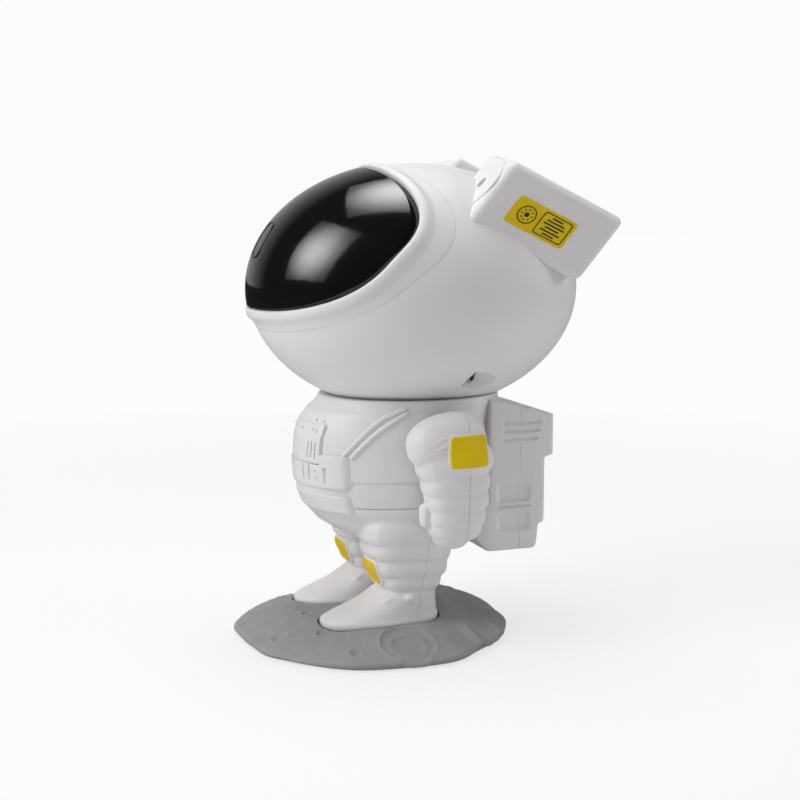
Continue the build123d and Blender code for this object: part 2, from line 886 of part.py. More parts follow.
def lamp_form(side, inset):
    with BuildPart() as box:
        with BuildSketch(Plane.YZ.offset(side * lamp_centre_x)):
            with BuildLine():
                Polyline(*lamp_corners, close=True)
            make_face()
            if inset:
                offset(amount=-inset, kind=Kind.INTERSECTION)
        extrude(amount=lamp_width / 2 - inset, both=True)
        if not inset:
            fillet(box.edges(), lamp_edge_radius)
    return box.part


front_edge = Vector(0, lamp_front_bottom[0] - lamp_front_top[0], lamp_front_bottom[1] - lamp_front_top[1])
front_down = front_edge.normalized()
front_out = Vector(0, front_down.Z, -front_down.Y)
lamp_disc_centre = Vector(0, lamp_front_top[0], lamp_front_top[1]) + front_down * lamp_disc_from_edge


def disc_plane(side, depth):
    spot = Vector(side * lamp_centre_x, 0, 0) + lamp_disc_centre - front_out * depth
    return Plane(origin=spot, x_dir=(1, 0, 0), z_dir=front_out)


for side, name in ((1, "left"), (-1, "right")):
    with BuildPart() as lamp_box:
        add(lamp_form(side, 0))
        add(lamp_form(side, lamp_wall), mode=Mode.SUBTRACT)
        with BuildSketch(disc_plane(side, lamp_disc_thickness - lamp_disc_proud)):
            Circle(lamp_disc_radius + clearance)
        extrude(amount=20, mode=Mode.SUBTRACT)
        with BuildSketch(disc_plane(side, lamp_wall + 1)):
            Circle(lamp_disc_radius - 2)
        extrude(amount=20, mode=Mode.SUBTRACT)
        add(ellipsoid(0.1), mode=Mode.SUBTRACT)
    save(lamp_box.part, f"{name}_lamp_box")
    with BuildPart() as lamp_disc:
        with BuildSketch(disc_plane(side, lamp_disc_thickness - lamp_disc_proud)):
            Circle(lamp_disc_radius)
            Circle(lamp_disc_hole_radius, mode=Mode.SUBTRACT)
        extrude(amount=lamp_disc_thickness)
        add(ellipsoid(clearance), mode=Mode.SUBTRACT)
    save(lamp_disc.part, f"{name}_lamp_disc")


panel_back_y = panel_y - panel_thickness

with BuildPart() as helmet:
    add(helmet_outer)
    add(helmet_inner, mode=Mode.SUBTRACT)
    add(aperture(bezel_width + clearance), mode=Mode.SUBTRACT)
    add(slab(neck_top - far, neck_top), mode=Mode.SUBTRACT)

helmet_middle = ellipsoid(-wall / 2)

with BuildPart() as helmet_floor:
    add(helmet_middle)
    add(slab(neck_top, neck_top + wall), mode=Mode.INTERSECT)

with BuildPart() as panel_seat:
    add(helmet_middle)
    with Locations((0, panel_y - panel_thickness / 2, panel_z)):
        Box(panel_width + 6, panel_thickness, panel_height + 8, mode=Mode.INTERSECT)

# shelves inside both cheeks, where the optics chassis is screwed down
shelf_inner_x = 44.0
shelf_thickness = 5.0
shelf_half_height = 11.0
with BuildPart() as shelves:
    for side in (-1, 1):
        with BuildSketch(optics_plane(chassis_station - shelf_thickness, chassis_centre)):
            with Locations((side * (shelf_inner_x + 20), 0)):
                Rectangle(40, 2 * shelf_half_height)
        extrude(amount=shelf_thickness)
    add(helmet_middle, mode=Mode.INTERSECT)
    add(aperture(bezel_width + clearance), mode=Mode.SUBTRACT)

button_back_y = panel_back_y - button_gap - button_flange_thickness
switch_height = 2.6
switch_size = 5.0
board_thickness = 1.6
button_board_y = button_back_y - button_travel - switch_height
main_board_z = usb_z - usb_height / 2 - board_thickness
main_board_width = 32.0
main_board_length = 34.0
main_board_back_y = usb_mouth_y - 4.6
board_post_radius = 2.4

chassis_front = chassis_station + chassis_thickness
chassis_screw_spots = [(side * 49.0, rise) for side in (-1, 1) for rise in (-6.0, 6.0)]
chassis_screw_radius = 1.2
chassis_screw_length = 6.0
chassis_screw_points = [
    tuple(optics_plane(chassis_front, chassis_centre).from_local_coords(Vector(x, v, 0)))
    for x, v in chassis_screw_spots
]
keeper_screw_circle = 20.0
keeper_screw_radius = 1.0
keeper_screw_length = 3.0
keeper_screw_count = 3
keeper_top = neck_top + wall + keeper_thickness
keeper_screw_spots = [
    (keeper_screw_circle * cos(turn), collar_centre_y + keeper_screw_circle * sin(turn), keeper_top)
    for turn in [2 * pi * step / keeper_screw_count + pi / 6 for step in range(keeper_screw_count)]
]

# wells low on the helmet's rear, with the screws that hold its halves together
helmet_screw_direction = tuple(helmet_parting.z_dir)
well_radius = 5.6
well_wall = 1.8
well_floor = 2.0
well_bottoms = [(side * 43.6, 30.4, 122.6) for side in (-1, 1)]
helmet_screw_radius = 1.5
helmet_screw_length = 16.0
helmet_screw_head = 2.9
screw_boss_radius = 4.0

with BuildPart() as screw_wells:
    for bottom in well_bottoms:
        spot = Vector(*bottom)
        with BuildSketch(Plane(origin=spot + helmet_parting.z_dir * well_floor, z_dir=helmet_screw_direction)):
            Circle(well_radius + well_wall)
        extrude(amount=-helmet_half_length / 2)
        with BuildSketch(Plane(origin=spot, z_dir=helmet_screw_direction)):
            Circle(screw_boss_radius)
        extrude(amount=helmet_screw_length + 4)
    add(helmet_middle, mode=Mode.INTERSECT)
    add(slab(neck_top, neck_top + helmet_half_height), mode=Mode.INTERSECT)

with BuildPart() as helmet_body:
    add(helmet.part)
    add(helmet_floor.part)
    add(panel_seat.part)
    add(shelves.part)
    add(screw_wells.part)
    back_down = tuple(-helmet_parting.z_dir)
    add(rods(well_bottoms, well_radius, helmet_half_length / 2, back_down), mode=Mode.SUBTRACT)
    add(rods(well_bottoms, helmet_screw_radius + screw_clearance, helmet_screw_length + 1,
             helmet_screw_direction), mode=Mode.SUBTRACT)
    add(rods(chassis_screw_points, chassis_screw_radius + screw_clearance, chassis_screw_length + 1,
             tuple(-optics_axis)), mode=Mode.SUBTRACT)
    add(rods(keeper_screw_spots, keeper_screw_radius + screw_clearance, keeper_screw_length + 0.4,
             (0, 0, -1)), mode=Mode.SUBTRACT)
    with BuildSketch(Plane(origin=(0, button_board_y, panel_z), x_dir=(-1, 0, 0), z_dir=(0, 1, 0))):
        with GridLocations(panel_width, 1, 2, 1):
            Circle(board_post_radius)
    extrude(amount=panel_back_y - button_board_y)
    with BuildSketch(Plane.XY.offset(neck_top + wall / 2)):
        with Locations((0, main_board_back_y - main_board_length + 10)):
            with GridLocations(main_board_width - 8, 12, 2, 2):
                Circle(board_post_radius)
    extrude(amount=main_board_z - neck_top - wall / 2)
    with BuildSketch(Plane.XY.offset(neck_top)):
        with Locations((0, collar_centre_y)):
            Circle(spigot_radius + running_fit)
    extrude(amount=wall, mode=Mode.SUBTRACT)
    # recessed control panel
    with BuildSketch(Plane(origin=(0, panel_y, panel_z), x_dir=(-1, 0, 0), z_dir=(0, 1, 0))):
        RectangleRounded(panel_width, panel_height, panel_height / 2 - 0.1)
    extrude(amount=far, mode=Mode.SUBTRACT)
    with BuildSketch(Plane(origin=(0, panel_back_y - 3, panel_z), x_dir=(-1, 0, 0), z_dir=(0, 1, 0))):
        with GridLocations(button_pitch, 1, 3, 1):
            Circle(button_radius + button_gap)
    extrude(amount=far, mode=Mode.SUBTRACT)
    with BuildSketch(Plane(origin=(0, usb_mouth_y - 10, usb_z), x_dir=(-1, 0, 0), z_dir=(0, 1, 0))):
        RectangleRounded(usb_pocket_width, usb_pocket_height, 2.0)
    extrude(amount=far, mode=Mode.SUBTRACT)

with BuildPart() as helmet_rear:
    add(helmet_body.part)
    split(bisect_by=helmet_parting, keep=Keep.BOTTOM)
save(helmet_rear.part, "helmet_rear")
with BuildPart() as helmet_front:
    add(helmet_body.part)
    split(bisect_by=helmet_parting, keep=Keep.TOP)
save(helmet_front.part, "helmet_front")
save(screws(well_bottoms, helmet_screw_radius, helmet_screw_length, helmet_screw_head, 1.8,
            helmet_screw_direction), "helmet_screws")


with BuildPart() as visor_bezel:
    add(ellipsoid(bezel_proud))
    add(ellipsoid(-wall - bezel_depth), mode=Mode.SUBTRACT)
    add(aperture(bezel_width), mode=Mode.INTERSECT)
    add(aperture(0), mode=Mode.SUBTRACT)
save(visor_bezel.part, "visor_bezel")


window_centre = Vector(0, -47.9, 180.0)
window_tilt = radians(optics_tilt)
window_plane = Plane(origin=window_centre, x_dir=(1, 0, 0), z_dir=(0, -cos(window_tilt), sin(window_tilt)))


def window_prism(grow):
    with BuildPart() as prism:
        with BuildSketch(window_plane):
            RectangleRounded(window_width + 2 * grow, window_length + 2 * grow, 3.0)
        extrude(amount=14, both=True)
    return prism.part


with BuildPart() as visor_shell:
    add(ellipsoid(visor_bulge))
    add(ellipsoid(visor_bulge - visor_thickness), mode=Mode.SUBTRACT)
    add(aperture(-clearance), mode=Mode.INTERSECT)


with BuildPart() as visor:
    add(visor_shell.part)
    add(window_prism(clearance), mode=Mode.SUBTRACT)
save(visor.part, "visor")
with BuildPart() as laser_window:
    add(visor_shell.part)
    add(window_prism(0), mode=Mode.INTERSECT)
save(laser_window.part, "laser_window")



# ---------------------------------------------------------------- controls


for spot_x, name in ((-button_pitch, "power_button"), (0.0, "nebula_button"), (button_pitch, "star_button")):
    with BuildPart() as button:
        with BuildSketch(Plane(origin=(spot_x, button_back_y, panel_z), x_dir=(-1, 0, 0), z_dir=(0, 1, 0))):
            Circle(button_radius + button_flange)
        extrude(amount=button_flange_thickness)
        with BuildSketch(Plane(origin=(spot_x, button_back_y, panel_z), x_dir=(-1, 0, 0), z_dir=(0, 1, 0))):
            Circle(button_radius)
        extrude(amount=panel_y + button_proud - button_back_y)
        fillet(button.edges().group_by(Axis.Y)[-1], 0.7)
    save(button.part, name)

with BuildPart() as button_board:
    with BuildSketch(Plane(origin=(0, button_board_y, panel_z), x_dir=(-1, 0, 0), z_dir=(0, 1, 0))):
        RectangleRounded(panel_width + 6, panel_height - 1, 1.0)
    extrude(amount=-board_thickness)
    with BuildSketch(Plane(origin=(0, button_board_y, panel_z), x_dir=(-1, 0, 0), z_dir=(0, 1, 0))):
        with GridLocations(button_pitch, 1, 3, 1):
            Rectangle(switch_size, switch_size)
    extrude(amount=switch_height)
save(button_board.part, "button_board")

with BuildPart() as main_board:
    with BuildSketch(Plane.XY.offset(main_board_z)):
        with Locations((0, main_board_back_y - main_board_length / 2)):
            RectangleRounded(main_board_width, main_board_length, 2.0)
    extrude(amount=board_thickness)
    add(ellipsoid(-wall - 0.5), mode=Mode.INTERSECT)
    # controller chip and two capacitors
    with BuildSketch(Plane.XY.offset(main_board_z + board_thickness)):
        with Locations((-7, main_board_back_y - 20)):
            Rectangle(7, 7)
    extrude(amount=1.2)
    with BuildSketch(Plane.XY.offset(main_board_z + board_thickness)):
        with Locations((5, main_board_back_y - 20), (11, main_board_back_y - 20)):
            Circle(2.5)
    extrude(amount=6.0)
save(main_board.part, "main_board")

with BuildPart() as usb_socket:
    with BuildSketch(Plane(origin=(0, usb_mouth_y - usb_length, usb_z), x_dir=(-1, 0, 0), z_dir=(0, 1, 0))):
        RectangleRounded(usb_width, usb_height, usb_height / 2 - 0.05)
    extrude(amount=usb_length)
    with BuildSketch(Plane(origin=(0, usb_mouth_y, usb_z), x_dir=(-1, 0, 0), z_dir=(0, 1, 0))):
        RectangleRounded(usb_width - 0.6, usb_height - 0.6, (usb_height - 0.6) / 2 - 0.05)
        RectangleRounded(usb_width - 2.3, 0.7, 0.3, mode=Mode.SUBTRACT)
    extrude(amount=-(usb_length - 1.2), mode=Mode.SUBTRACT)
save(usb_socket.part, "usb_socket")

# ---------------------------------------------------------------- optics

def gear_outline(teeth, module, turn, centre_x=0.0):
    """Straight-flanked teeth, close to involute ones at this size."""
    pitch = teeth * module / 2
    tip = pitch + 0.85 * module
    root = pitch - 1.15 * module
    points = []
    for tooth in range(teeth):
        middle = 2 * pi * tooth / teeth + turn
        quarter = pi / teeth / 2
        for radius, swing in ((root, -1.35), (tip, -0.55), (tip, 0.55), (root, 1.35)):
            angle = middle + quarter * swing * 0.93
            points.append((centre_x + radius * cos(angle), radius * sin(angle)))
    return points


disc_pitch_radius = disc_teeth * gear_module / 2
pinion_pitch_radius = pinion_teeth * gear_module / 2
gear_centres = disc_pitch_radius + pinion_pitch_radius + gear_backlash
disc_bore_radius = 2.0
ripple_count = 3

with BuildPart() as nebula_disc:
    with BuildSketch(optics_plane(disc_station, disc_offset)):
        with BuildLine():
            Polyline(*gear_outline(disc_teeth, gear_module, pi / disc_teeth), close=True)
        make_face()
        Circle(disc_bore_radius + running_fit, mode=Mode.SUBTRACT)
    extrude(amount=disc_thickness)
    # rippled glass field between the hub and the toothed rim
    with BuildSketch(optics_plane(disc_station + disc_thickness, disc_offset)):
        for step in range(ripple_count):
            Circle(7.0 + 4.4 * step)
            Circle(5.4 + 4.4 * step, mode=Mode.SUBTRACT)
    extrude(amount=-0.7, mode=Mode.SUBTRACT)
save(nebula_disc.part, "nebula_disc")

pinion_extra = 0.5
with BuildPart() as drive_pinion:
    with BuildSketch(optics_plane(disc_station - pinion_extra, disc_offset)):
        with BuildLine():
            Polyline(*gear_outline(pinion_teeth, gear_module, pi, gear_centres), close=True)
        make_face()
        with Locations((gear_centres, 0)):
            Circle(motor_shaft_radius + running_fit, mode=Mode.SUBTRACT)
    extrude(amount=disc_thickness + 2 * pinion_extra)
save(drive_pinion.part, "drive_pinion")

pinion_spot = (gear_centres, disc_offset)
post_spots = [(-27.0, -20.0), (27.0, -20.0), (-27.0, 30.0), (27.0, 30.0)]
post_radius = 2.6
light_hole_radius = 6.0

with BuildPart() as optics_chassis:
    with BuildSketch(optics_plane(chassis_station)):
        with Locations((0, chassis_centre)):
            RectangleRounded(2 * chassis_half_width, 2 * chassis_half_height, 4.0)
            RectangleRounded(2 * helmet_half_width, 2 * shelf_half_height, 1.0)
        Circle(light_hole_radius, mode=Mode.SUBTRACT)
        with Locations(pinion_spot):
            Circle(motor_shaft_radius + 1.0, mode=Mode.SUBTRACT)
        with Locations(*[(x, chassis_centre + v) for x, v in chassis_screw_spots]):
            Circle(chassis_screw_radius + screw_clearance, mode=Mode.SUBTRACT)
    extrude(amount=chassis_thickness)
    add(ellipsoid(-wall - bezel_depth - clearance), mode=Mode.INTERSECT)
    # boss that carries the disc, and posts for the lens carrier
    with BuildSketch(optics_plane(chassis_front)):
        with Locations((0, disc_offset)):
            Circle(4.2)
    extrude(amount=disc_station - running_fit - chassis_front)
    with BuildSketch(optics_plane(chassis_front)):
        with Locations(*post_spots):
            Circle(post_radius)
    extrude(amount=barrel_station + 0.5 - chassis_front)
    with BuildSketch(optics_plane(chassis_station)):
        with Locations((0, disc_offset)):
            Circle(disc_bore_radius + clearance / 3)
    extrude(amount=10, mode=Mode.SUBTRACT)
save(optics_chassis.part, "optics_chassis")

with BuildPart() as disc_axle:
    with BuildSketch(optics_plane(chassis_station)):
        with Locations((0, disc_offset)):
            Circle(disc_bore_radius)
    extrude(amount=disc_station + disc_thickness + 1.2 - chassis_station)
    with BuildSketch(optics_plane(disc_station + disc_thickness + 0.2)):
        with Locations((0, disc_offset)):
            Circle(disc_bore_radius + 1.2)
    extrude(amount=0.6)
save(disc_axle.part, "disc_axle")

with BuildPart() as motor_shaft:
    with BuildSketch(optics_plane(chassis_station - 1.0)):
        with Locations(pinion_spot):
            Circle(motor_shaft_radius)
    extrude(amount=disc_station + disc_thickness + 0.5 - chassis_station + 1.0)
save(motor_shaft.part, "motor_shaft")

with BuildPart() as gear_motor:
    with BuildSketch(optics_plane(chassis_station)):
        with Locations(pinion_spot):
            Circle(motor_radius)
            with Locations((0, 0)):
                Circle(motor_shaft_radius + running_fit, mode=Mode.SUBTRACT)
    extrude(amount=-4.0)
    with BuildSketch(optics_plane(chassis_station - 1.2)):
        with Locations(pinion_spot):
            Circle(motor_radius - 1.5)
    extrude(amount=-(motor_length - 1.2))
save(gear_motor.part, "gear_motor")

with BuildPart() as lens_carrier:
    with BuildSketch(optics_plane(barrel_station + 0.5)):
        with Locations((0, chassis_centre)):
            RectangleRounded(2 * chassis_half_width, 2 * chassis_half_height, 4.0)
        Circle(lens_radius + barrel_wall + 2 * running_fit, mode=Mode.SUBTRACT)
        with Locations((0, laser_offset)):
            Circle(laser_radius + running_fit, mode=Mode.SUBTRACT)
        with Locations((0, 28.0)):
            Rectangle(40, 18, mode=Mode.SUBTRACT)
    extrude(amount=carrier_thickness)
save(lens_carrier.part, "lens_carrier")

barrel_ledge = 6.5
with BuildPart() as lens_barrel:
    with BuildSketch(optics_plane(barrel_station)):
        Circle(lens_radius + barrel_wall)
        Circle(lens_radius - 1.0, mode=Mode.SUBTRACT)
    extrude(amount=barrel_length)
    with BuildSketch(optics_plane(barrel_station + barrel_ledge)):
        Circle(lens_radius + running_fit)
    extrude(amount=barrel_length, mode=Mode.SUBTRACT)
save(lens_barrel.part, "lens_barrel")

lens_edge = 2.0
lens_rise = 4.0
with BuildPart() as projection_lens:
    lens_ball = (lens_radius ** 2 + lens_rise ** 2) / (2 * lens_rise)
    with BuildSketch(optics_plane(barrel_station + barrel_ledge)):
        Circle(lens_radius)
    extrude(amount=lens_edge + lens_rise)
    ball_plane = optics_plane(barrel_station + barrel_ledge + lens_edge + lens_rise - lens_ball)
    with Locations(ball_plane):
        Sphere(lens_ball, mode=Mode.INTERSECT)
save(projection_lens.part, "projection_lens")

with BuildPart() as laser_module:
    with BuildSketch(optics_plane(barrel_station - 5.0, laser_offset)):
        Circle(laser_radius)
    extrude(amount=laser_length)
    with BuildSketch(optics_plane(barrel_station - 5.0 + laser_length - 1.5, laser_offset)):
        Circle(laser_radius - 1.0)
    extrude(amount=1.5, mode=Mode.SUBTRACT)
save(laser_module.part, "laser_module")

with BuildPart() as laser_grating:
    with BuildSketch(optics_plane(barrel_station - 5.0 + laser_length - 1.5, laser_offset)):
        Circle(laser_radius - 1.0 - running_fit)
    extrude(amount=1.2)
save(laser_grating.part, "laser_grating")

led_board_radius = 10.0
led_board_thickness = 1.6
led_size = 3.5
with BuildPart() as led_board:
    with BuildSketch(optics_plane(chassis_station)):
        Circle(led_board_radius)
    extrude(amount=-led_board_thickness)
save(led_board.part, "led_board")

with BuildPart() as led:
    with BuildSketch(optics_plane(chassis_station)):
        Rectangle(led_size, led_size)
    extrude(amount=1.2)
save(led.part, "led")

fin_count = 5
with BuildPart() as heat_sink:
    with BuildSketch(optics_plane(chassis_station - led_board_thickness)):
        Rectangle(20, 20)
    extrude(amount=-2.0)
    with BuildSketch(optics_plane(chassis_station - led_board_thickness - 2.0)):
        with GridLocations(4.5, 1, fin_count, 1):
            Rectangle(1.4, 20)
    extrude(amount=-7.0)
save(heat_sink.part, "heat_sink")

save(screws(chassis_screw_points, chassis_screw_radius, chassis_screw_length, 2.4, 1.5, tuple(-optics_axis)),
     "chassis_screws")

with BuildPart() as keeper_plate:
    with BuildSketch(Plane.XY.offset(neck_top + wall)):
        with Locations((0, collar_centre_y)):
            Circle(keeper_radius + 4)
    extrude(amount=keeper_thickness)
    add(rods(keeper_screw_spots, keeper_screw_radius + screw_clearance, 2 * keeper_thickness, (0, 0, -1)),
        mode=Mode.SUBTRACT)
save(keeper_plate.part, "keeper_plate")

save(screws(keeper_screw_spots, keeper_screw_radius, keeper_screw_length, 2.0, 1.0, (0, 0, -1)), "keeper_screws")
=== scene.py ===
import json
from math import cos, exp, pi, radians, sin, sqrt

import bmesh
import bpy
from mathutils import Matrix, Vector, noise
from mathutils.bvhtree import BVHTree


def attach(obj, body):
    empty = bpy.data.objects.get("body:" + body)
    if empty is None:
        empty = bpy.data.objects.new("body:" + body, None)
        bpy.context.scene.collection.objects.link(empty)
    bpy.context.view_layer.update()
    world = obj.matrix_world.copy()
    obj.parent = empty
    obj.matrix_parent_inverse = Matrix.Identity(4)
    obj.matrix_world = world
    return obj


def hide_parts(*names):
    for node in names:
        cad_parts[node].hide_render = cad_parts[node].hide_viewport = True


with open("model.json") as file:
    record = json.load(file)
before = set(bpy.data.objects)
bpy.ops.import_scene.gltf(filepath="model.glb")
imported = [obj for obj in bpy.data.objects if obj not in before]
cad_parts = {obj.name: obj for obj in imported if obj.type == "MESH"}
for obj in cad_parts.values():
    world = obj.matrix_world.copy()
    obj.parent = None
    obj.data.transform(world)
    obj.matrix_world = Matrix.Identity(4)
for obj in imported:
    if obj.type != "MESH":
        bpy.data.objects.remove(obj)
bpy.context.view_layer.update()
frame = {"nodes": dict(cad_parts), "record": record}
nodes = frame["nodes"]
print("frame loaded:", len(nodes), "nodes")


def node(tree, kind, inputs=None, **settings):
    made = tree.nodes.new(kind)
    for label, value in settings.items():
        setattr(made, label, value)
    for label, value in (inputs or {}).items():
        made.inputs[label].default_value = value
    return made


def wire(source, output, target, entry):
    source.id_data.links.new(source.outputs[output], target.inputs[entry])


def placed(name, data):  # a new object in the scene
    made = bpy.data.objects.new(name, data)
    bpy.context.scene.collection.objects.link(made)
    return made


# view and light

view = {
    "place": (0.6202, -0.2108, 0.2000),
    "lookAt": (0.0, 0.0149, 0.1069),
    "lens": 65.4, "sensor": 36.0, "clip": (0.02, 30.0),
}

lamps = {  # name: place, aim, width, height, power in watts
    "frontSoftBox": ((0.115, -0.82, 0.74), (0.0, 0.0, 0.18), 0.70, 0.95, 9.4),
    "overheadSoftBox": ((-0.20, 0.08, 1.15), (-0.16, 0.06, 0.18), 0.75, 0.80, 8.7),
    "sideFill": ((0.35, 0.95, 0.50), (0.0, 0.04, 0.15), 0.70, 0.70, 3.5),
}
# strengths in the middle and at the corners, and the share of the width in which one becomes the other
softBox = {"middle": 1.75, "corner": 0.15, "reach": 0.62}

room = {
    "light": (1.0, 0.985, 0.98, 1.0), "lightStrength": 0.22,
    "white": (0.965, 0.965, 0.968, 1.0),
    # the pale backdrop stands on the figure's right: its edge, and the strengths beside and in it
    "backdrop": {"From Min": -0.62, "From Max": -0.92, "To Min": 0.02, "To Max": 0.5},
}


def aimed(place, target):
    turn = (Vector(target) - Vector(place)).to_track_quat("-Z", "Y")
    return Matrix.Translation(place) @ turn.to_matrix().to_4x4()


cameraData = bpy.data.cameras.new("camera")
cameraData.lens = view["lens"]
cameraData.sensor_width = view["sensor"]
cameraData.clip_start, cameraData.clip_end = view["clip"]
camera = placed("camera", cameraData)
camera.matrix_world = aimed(view["place"], view["lookAt"])
bpy.context.scene.camera = camera
bpy.context.scene.view_settings.view_transform = "Standard"

for name, (place, target, width, height, power) in lamps.items():
    lampData = bpy.data.lights.new(name, "AREA")
    lampData.shape = "RECTANGLE"
    lampData.size = width
    lampData.size_y = height
    lampData.energy = power
    lampData.use_nodes = True  # a soft box is brightest in its middle
    tree = lampData.node_tree
    spot = node(tree, "ShaderNodeNewGeometry")
    fromMiddle = node(tree, "ShaderNodeVectorMath", {1: (0.5, 0.5, 0.0)}, operation="DISTANCE")
    glowing = node(tree, "ShaderNodeMapRange",
                   {"From Max": softBox["reach"], "To Min": softBox["middle"], "To Max": softBox["corner"]},
                   interpolation_type="SMOOTHSTEP")
    wire(spot, "Parametric", fromMiddle, 0)
    wire(fromMiddle, "Value", glowing, "Value")
    wire(glowing, "Result", tree.nodes["Emission"], "Strength")
    placed(name, lampData).matrix_world = aimed(place, target)

world = bpy.data.worlds.new("studio")
bpy.context.scene.world = world
world.use_nodes = True
tree = world.node_tree
tree.nodes.clear()
rays = node(tree, "ShaderNodeLightPath")
direction = node(tree, "ShaderNodeTexCoord")
sides = node(tree, "ShaderNodeSeparateXYZ")
backdrop = node(tree, "ShaderNodeMapRange", room["backdrop"])
roomLight = node(tree, "ShaderNodeBackground", {"Color": room["light"], "Strength": room["lightStrength"]})
mirrored = node(tree, "ShaderNodeBackground", {"Color": (1.0, 1.0, 1.0, 1.0)})
whiteRoom = node(tree, "ShaderNodeBackground", {"Color": room["white"], "Strength": 1.0})
clearRays = node(tree, "ShaderNodeMath", operation="MAXIMUM")
glossMix = node(tree, "ShaderNodeMixShader")
cameraMix = node(tree, "ShaderNodeMixShader")
worldOut = node(tree, "ShaderNodeOutputWorld")
wire(direction, "Generated", sides, 0)
wire(sides, "X", backdrop, "Value")
wire(backdrop, "Result", mirrored, "Strength")
wire(rays, "Is Glossy Ray", glossMix, "Fac")
wire(roomLight, 0, glossMix, 1)
wire(mirrored, 0, glossMix, 2)
wire(rays, "Is Camera Ray", clearRays, 0)
wire(rays, "Is Transmission Ray", clearRays, 1)
wire(clearRays, 0, cameraMix, "Fac")
wire(glossMix, 0, cameraMix, 1)
wire(whiteRoom, 0, cameraMix, 2)
wire(cameraMix, 0, worldOut, "Surface")


# materials

def newGroup(name, inputs, outputs):
    group = bpy.data.node_groups.new(name, "ShaderNodeTree")
    for label, kind, value in inputs:
        socket = group.interface.new_socket(label, in_out="INPUT", socket_type=kind)
        socket.default_value = value
    for label, kind in outputs:
        group.interface.new_socket(label, in_out="OUTPUT", socket_type=kind)
    return group, node(group, "NodeGroupInput"), node(group, "NodeGroupOutput")


def mouldGrain():  # fine spark-eroded skin of moulded plastic, with a faint cloudiness
    group, given, out = newGroup(
        "mouldGrain",
        [("Colour", "NodeSocketColor", (0.8, 0.8, 0.8, 1)),
         ("Cloud Colour", "NodeSocketColor", (0.7, 0.7, 0.7, 1)),
         ("Grain Size", "NodeSocketFloat", 2600.0),
         ("Roughness", "NodeSocketFloat", 0.5),
         ("Depth", "NodeSocketFloat", 0.1)],
        [("Colour", "NodeSocketColor"), ("Roughness", "NodeSocketFloat"),
         ("Normal", "NodeSocketVector")],
    )
    where = node(group, "ShaderNodeTexCoord")
    grain = node(group, "ShaderNodeTexNoise", {"Detail": 2.0})
    cloud = node(group, "ShaderNodeTexNoise", {"Scale": 34.0, "Detail": 3.0})
    blendColour = node(group, "ShaderNodeMix", data_type="RGBA")
    shine = node(group, "ShaderNodeMapRange",
                 {"From Min": 0.3, "From Max": 0.7, "To Min": -0.05, "To Max": 0.05})
    addShine = node(group, "ShaderNodeMath")
    bump = node(group, "ShaderNodeBump", {"Distance": 0.0002})
    wire(where, "Object", grain, "Vector")
    wire(where, "Object", cloud, "Vector")
    wire(given, "Grain Size", grain, "Scale")
    wire(cloud, "Fac", blendColour, "Factor")
    wire(given, "Colour", blendColour, "A")
    wire(given, "Cloud Colour", blendColour, "B")
    wire(cloud, "Fac", shine, "Value")
    wire(shine, "Result", addShine, 0)
    wire(given, "Roughness", addShine, 1)
    wire(grain, "Fac", bump, "Height")
    wire(given, "Depth", bump, "Strength")
    wire(blendColour, "Result", out, "Colour")
    wire(addShine, 0, out, "Roughness")
    wire(bump, "Normal", out, "Normal")
    return group


def paintedEdgeHighlight():  # painted highlight: lighter colour along raised edges, where light catches them
    group, given, out = newGroup(
        "paintedEdgeHighlight",
        [("Colour", "NodeSocketColor", (0.3, 0.3, 0.3, 1)),
         ("Highlight Colour", "NodeSocketColor", (0.5, 0.5, 0.5, 1)),
         ("Amount", "NodeSocketFloat", 0.5)],
        [("Colour", "NodeSocketColor")],
    )
    shape = node(group, "ShaderNodeNewGeometry")
    edge = node(group, "ShaderNodeMapRange", {"From Min": 0.5, "From Max": 0.62})
    scaled = node(group, "ShaderNodeMath", operation="MULTIPLY")
    highlighted = node(group, "ShaderNodeMix", data_type="RGBA")
    wire(shape, "Pointiness", edge, "Value")
    wire(edge, "Result", scaled, 0)
    wire(given, "Amount", scaled, 1)
    wire(scaled, 0, highlighted, "Factor")
    wire(given, "Colour", highlighted, "A")
    wire(given, "Highlight Colour", highlighted, "B")
    wire(highlighted, "Result", out, "Colour")
    return group


grainGroup = mouldGrain()
edgeHighlightGroup = paintedEdgeHighlight()


def shaded(name):
    material = bpy.data.materials.new(name)
    material.use_nodes = True
    tree = material.node_tree
    return material, tree, tree.nodes["Principled BSDF"]


def plastic(name, colour, cloud, roughness, depth=0.1, grainSize=2600.0, **sockets):
    material, tree, bsdf = shaded(name)
    skin = node(tree, "ShaderNodeGroup",
                {"Colour": (*colour, 1), "Cloud Colour": (*cloud, 1), "Grain Size": grainSize,
                 "Roughness": roughness, "Depth": depth}, node_tree=grainGroup)
    wire(skin, "Colour", bsdf, "Base Color")
    wire(skin, "Roughness", bsdf, "Roughness")
    wire(skin, "Normal", bsdf, "Normal")
    for label, value in sockets.items():
        bsdf.inputs[label.replace("_", " ")].default_value = value
    return material


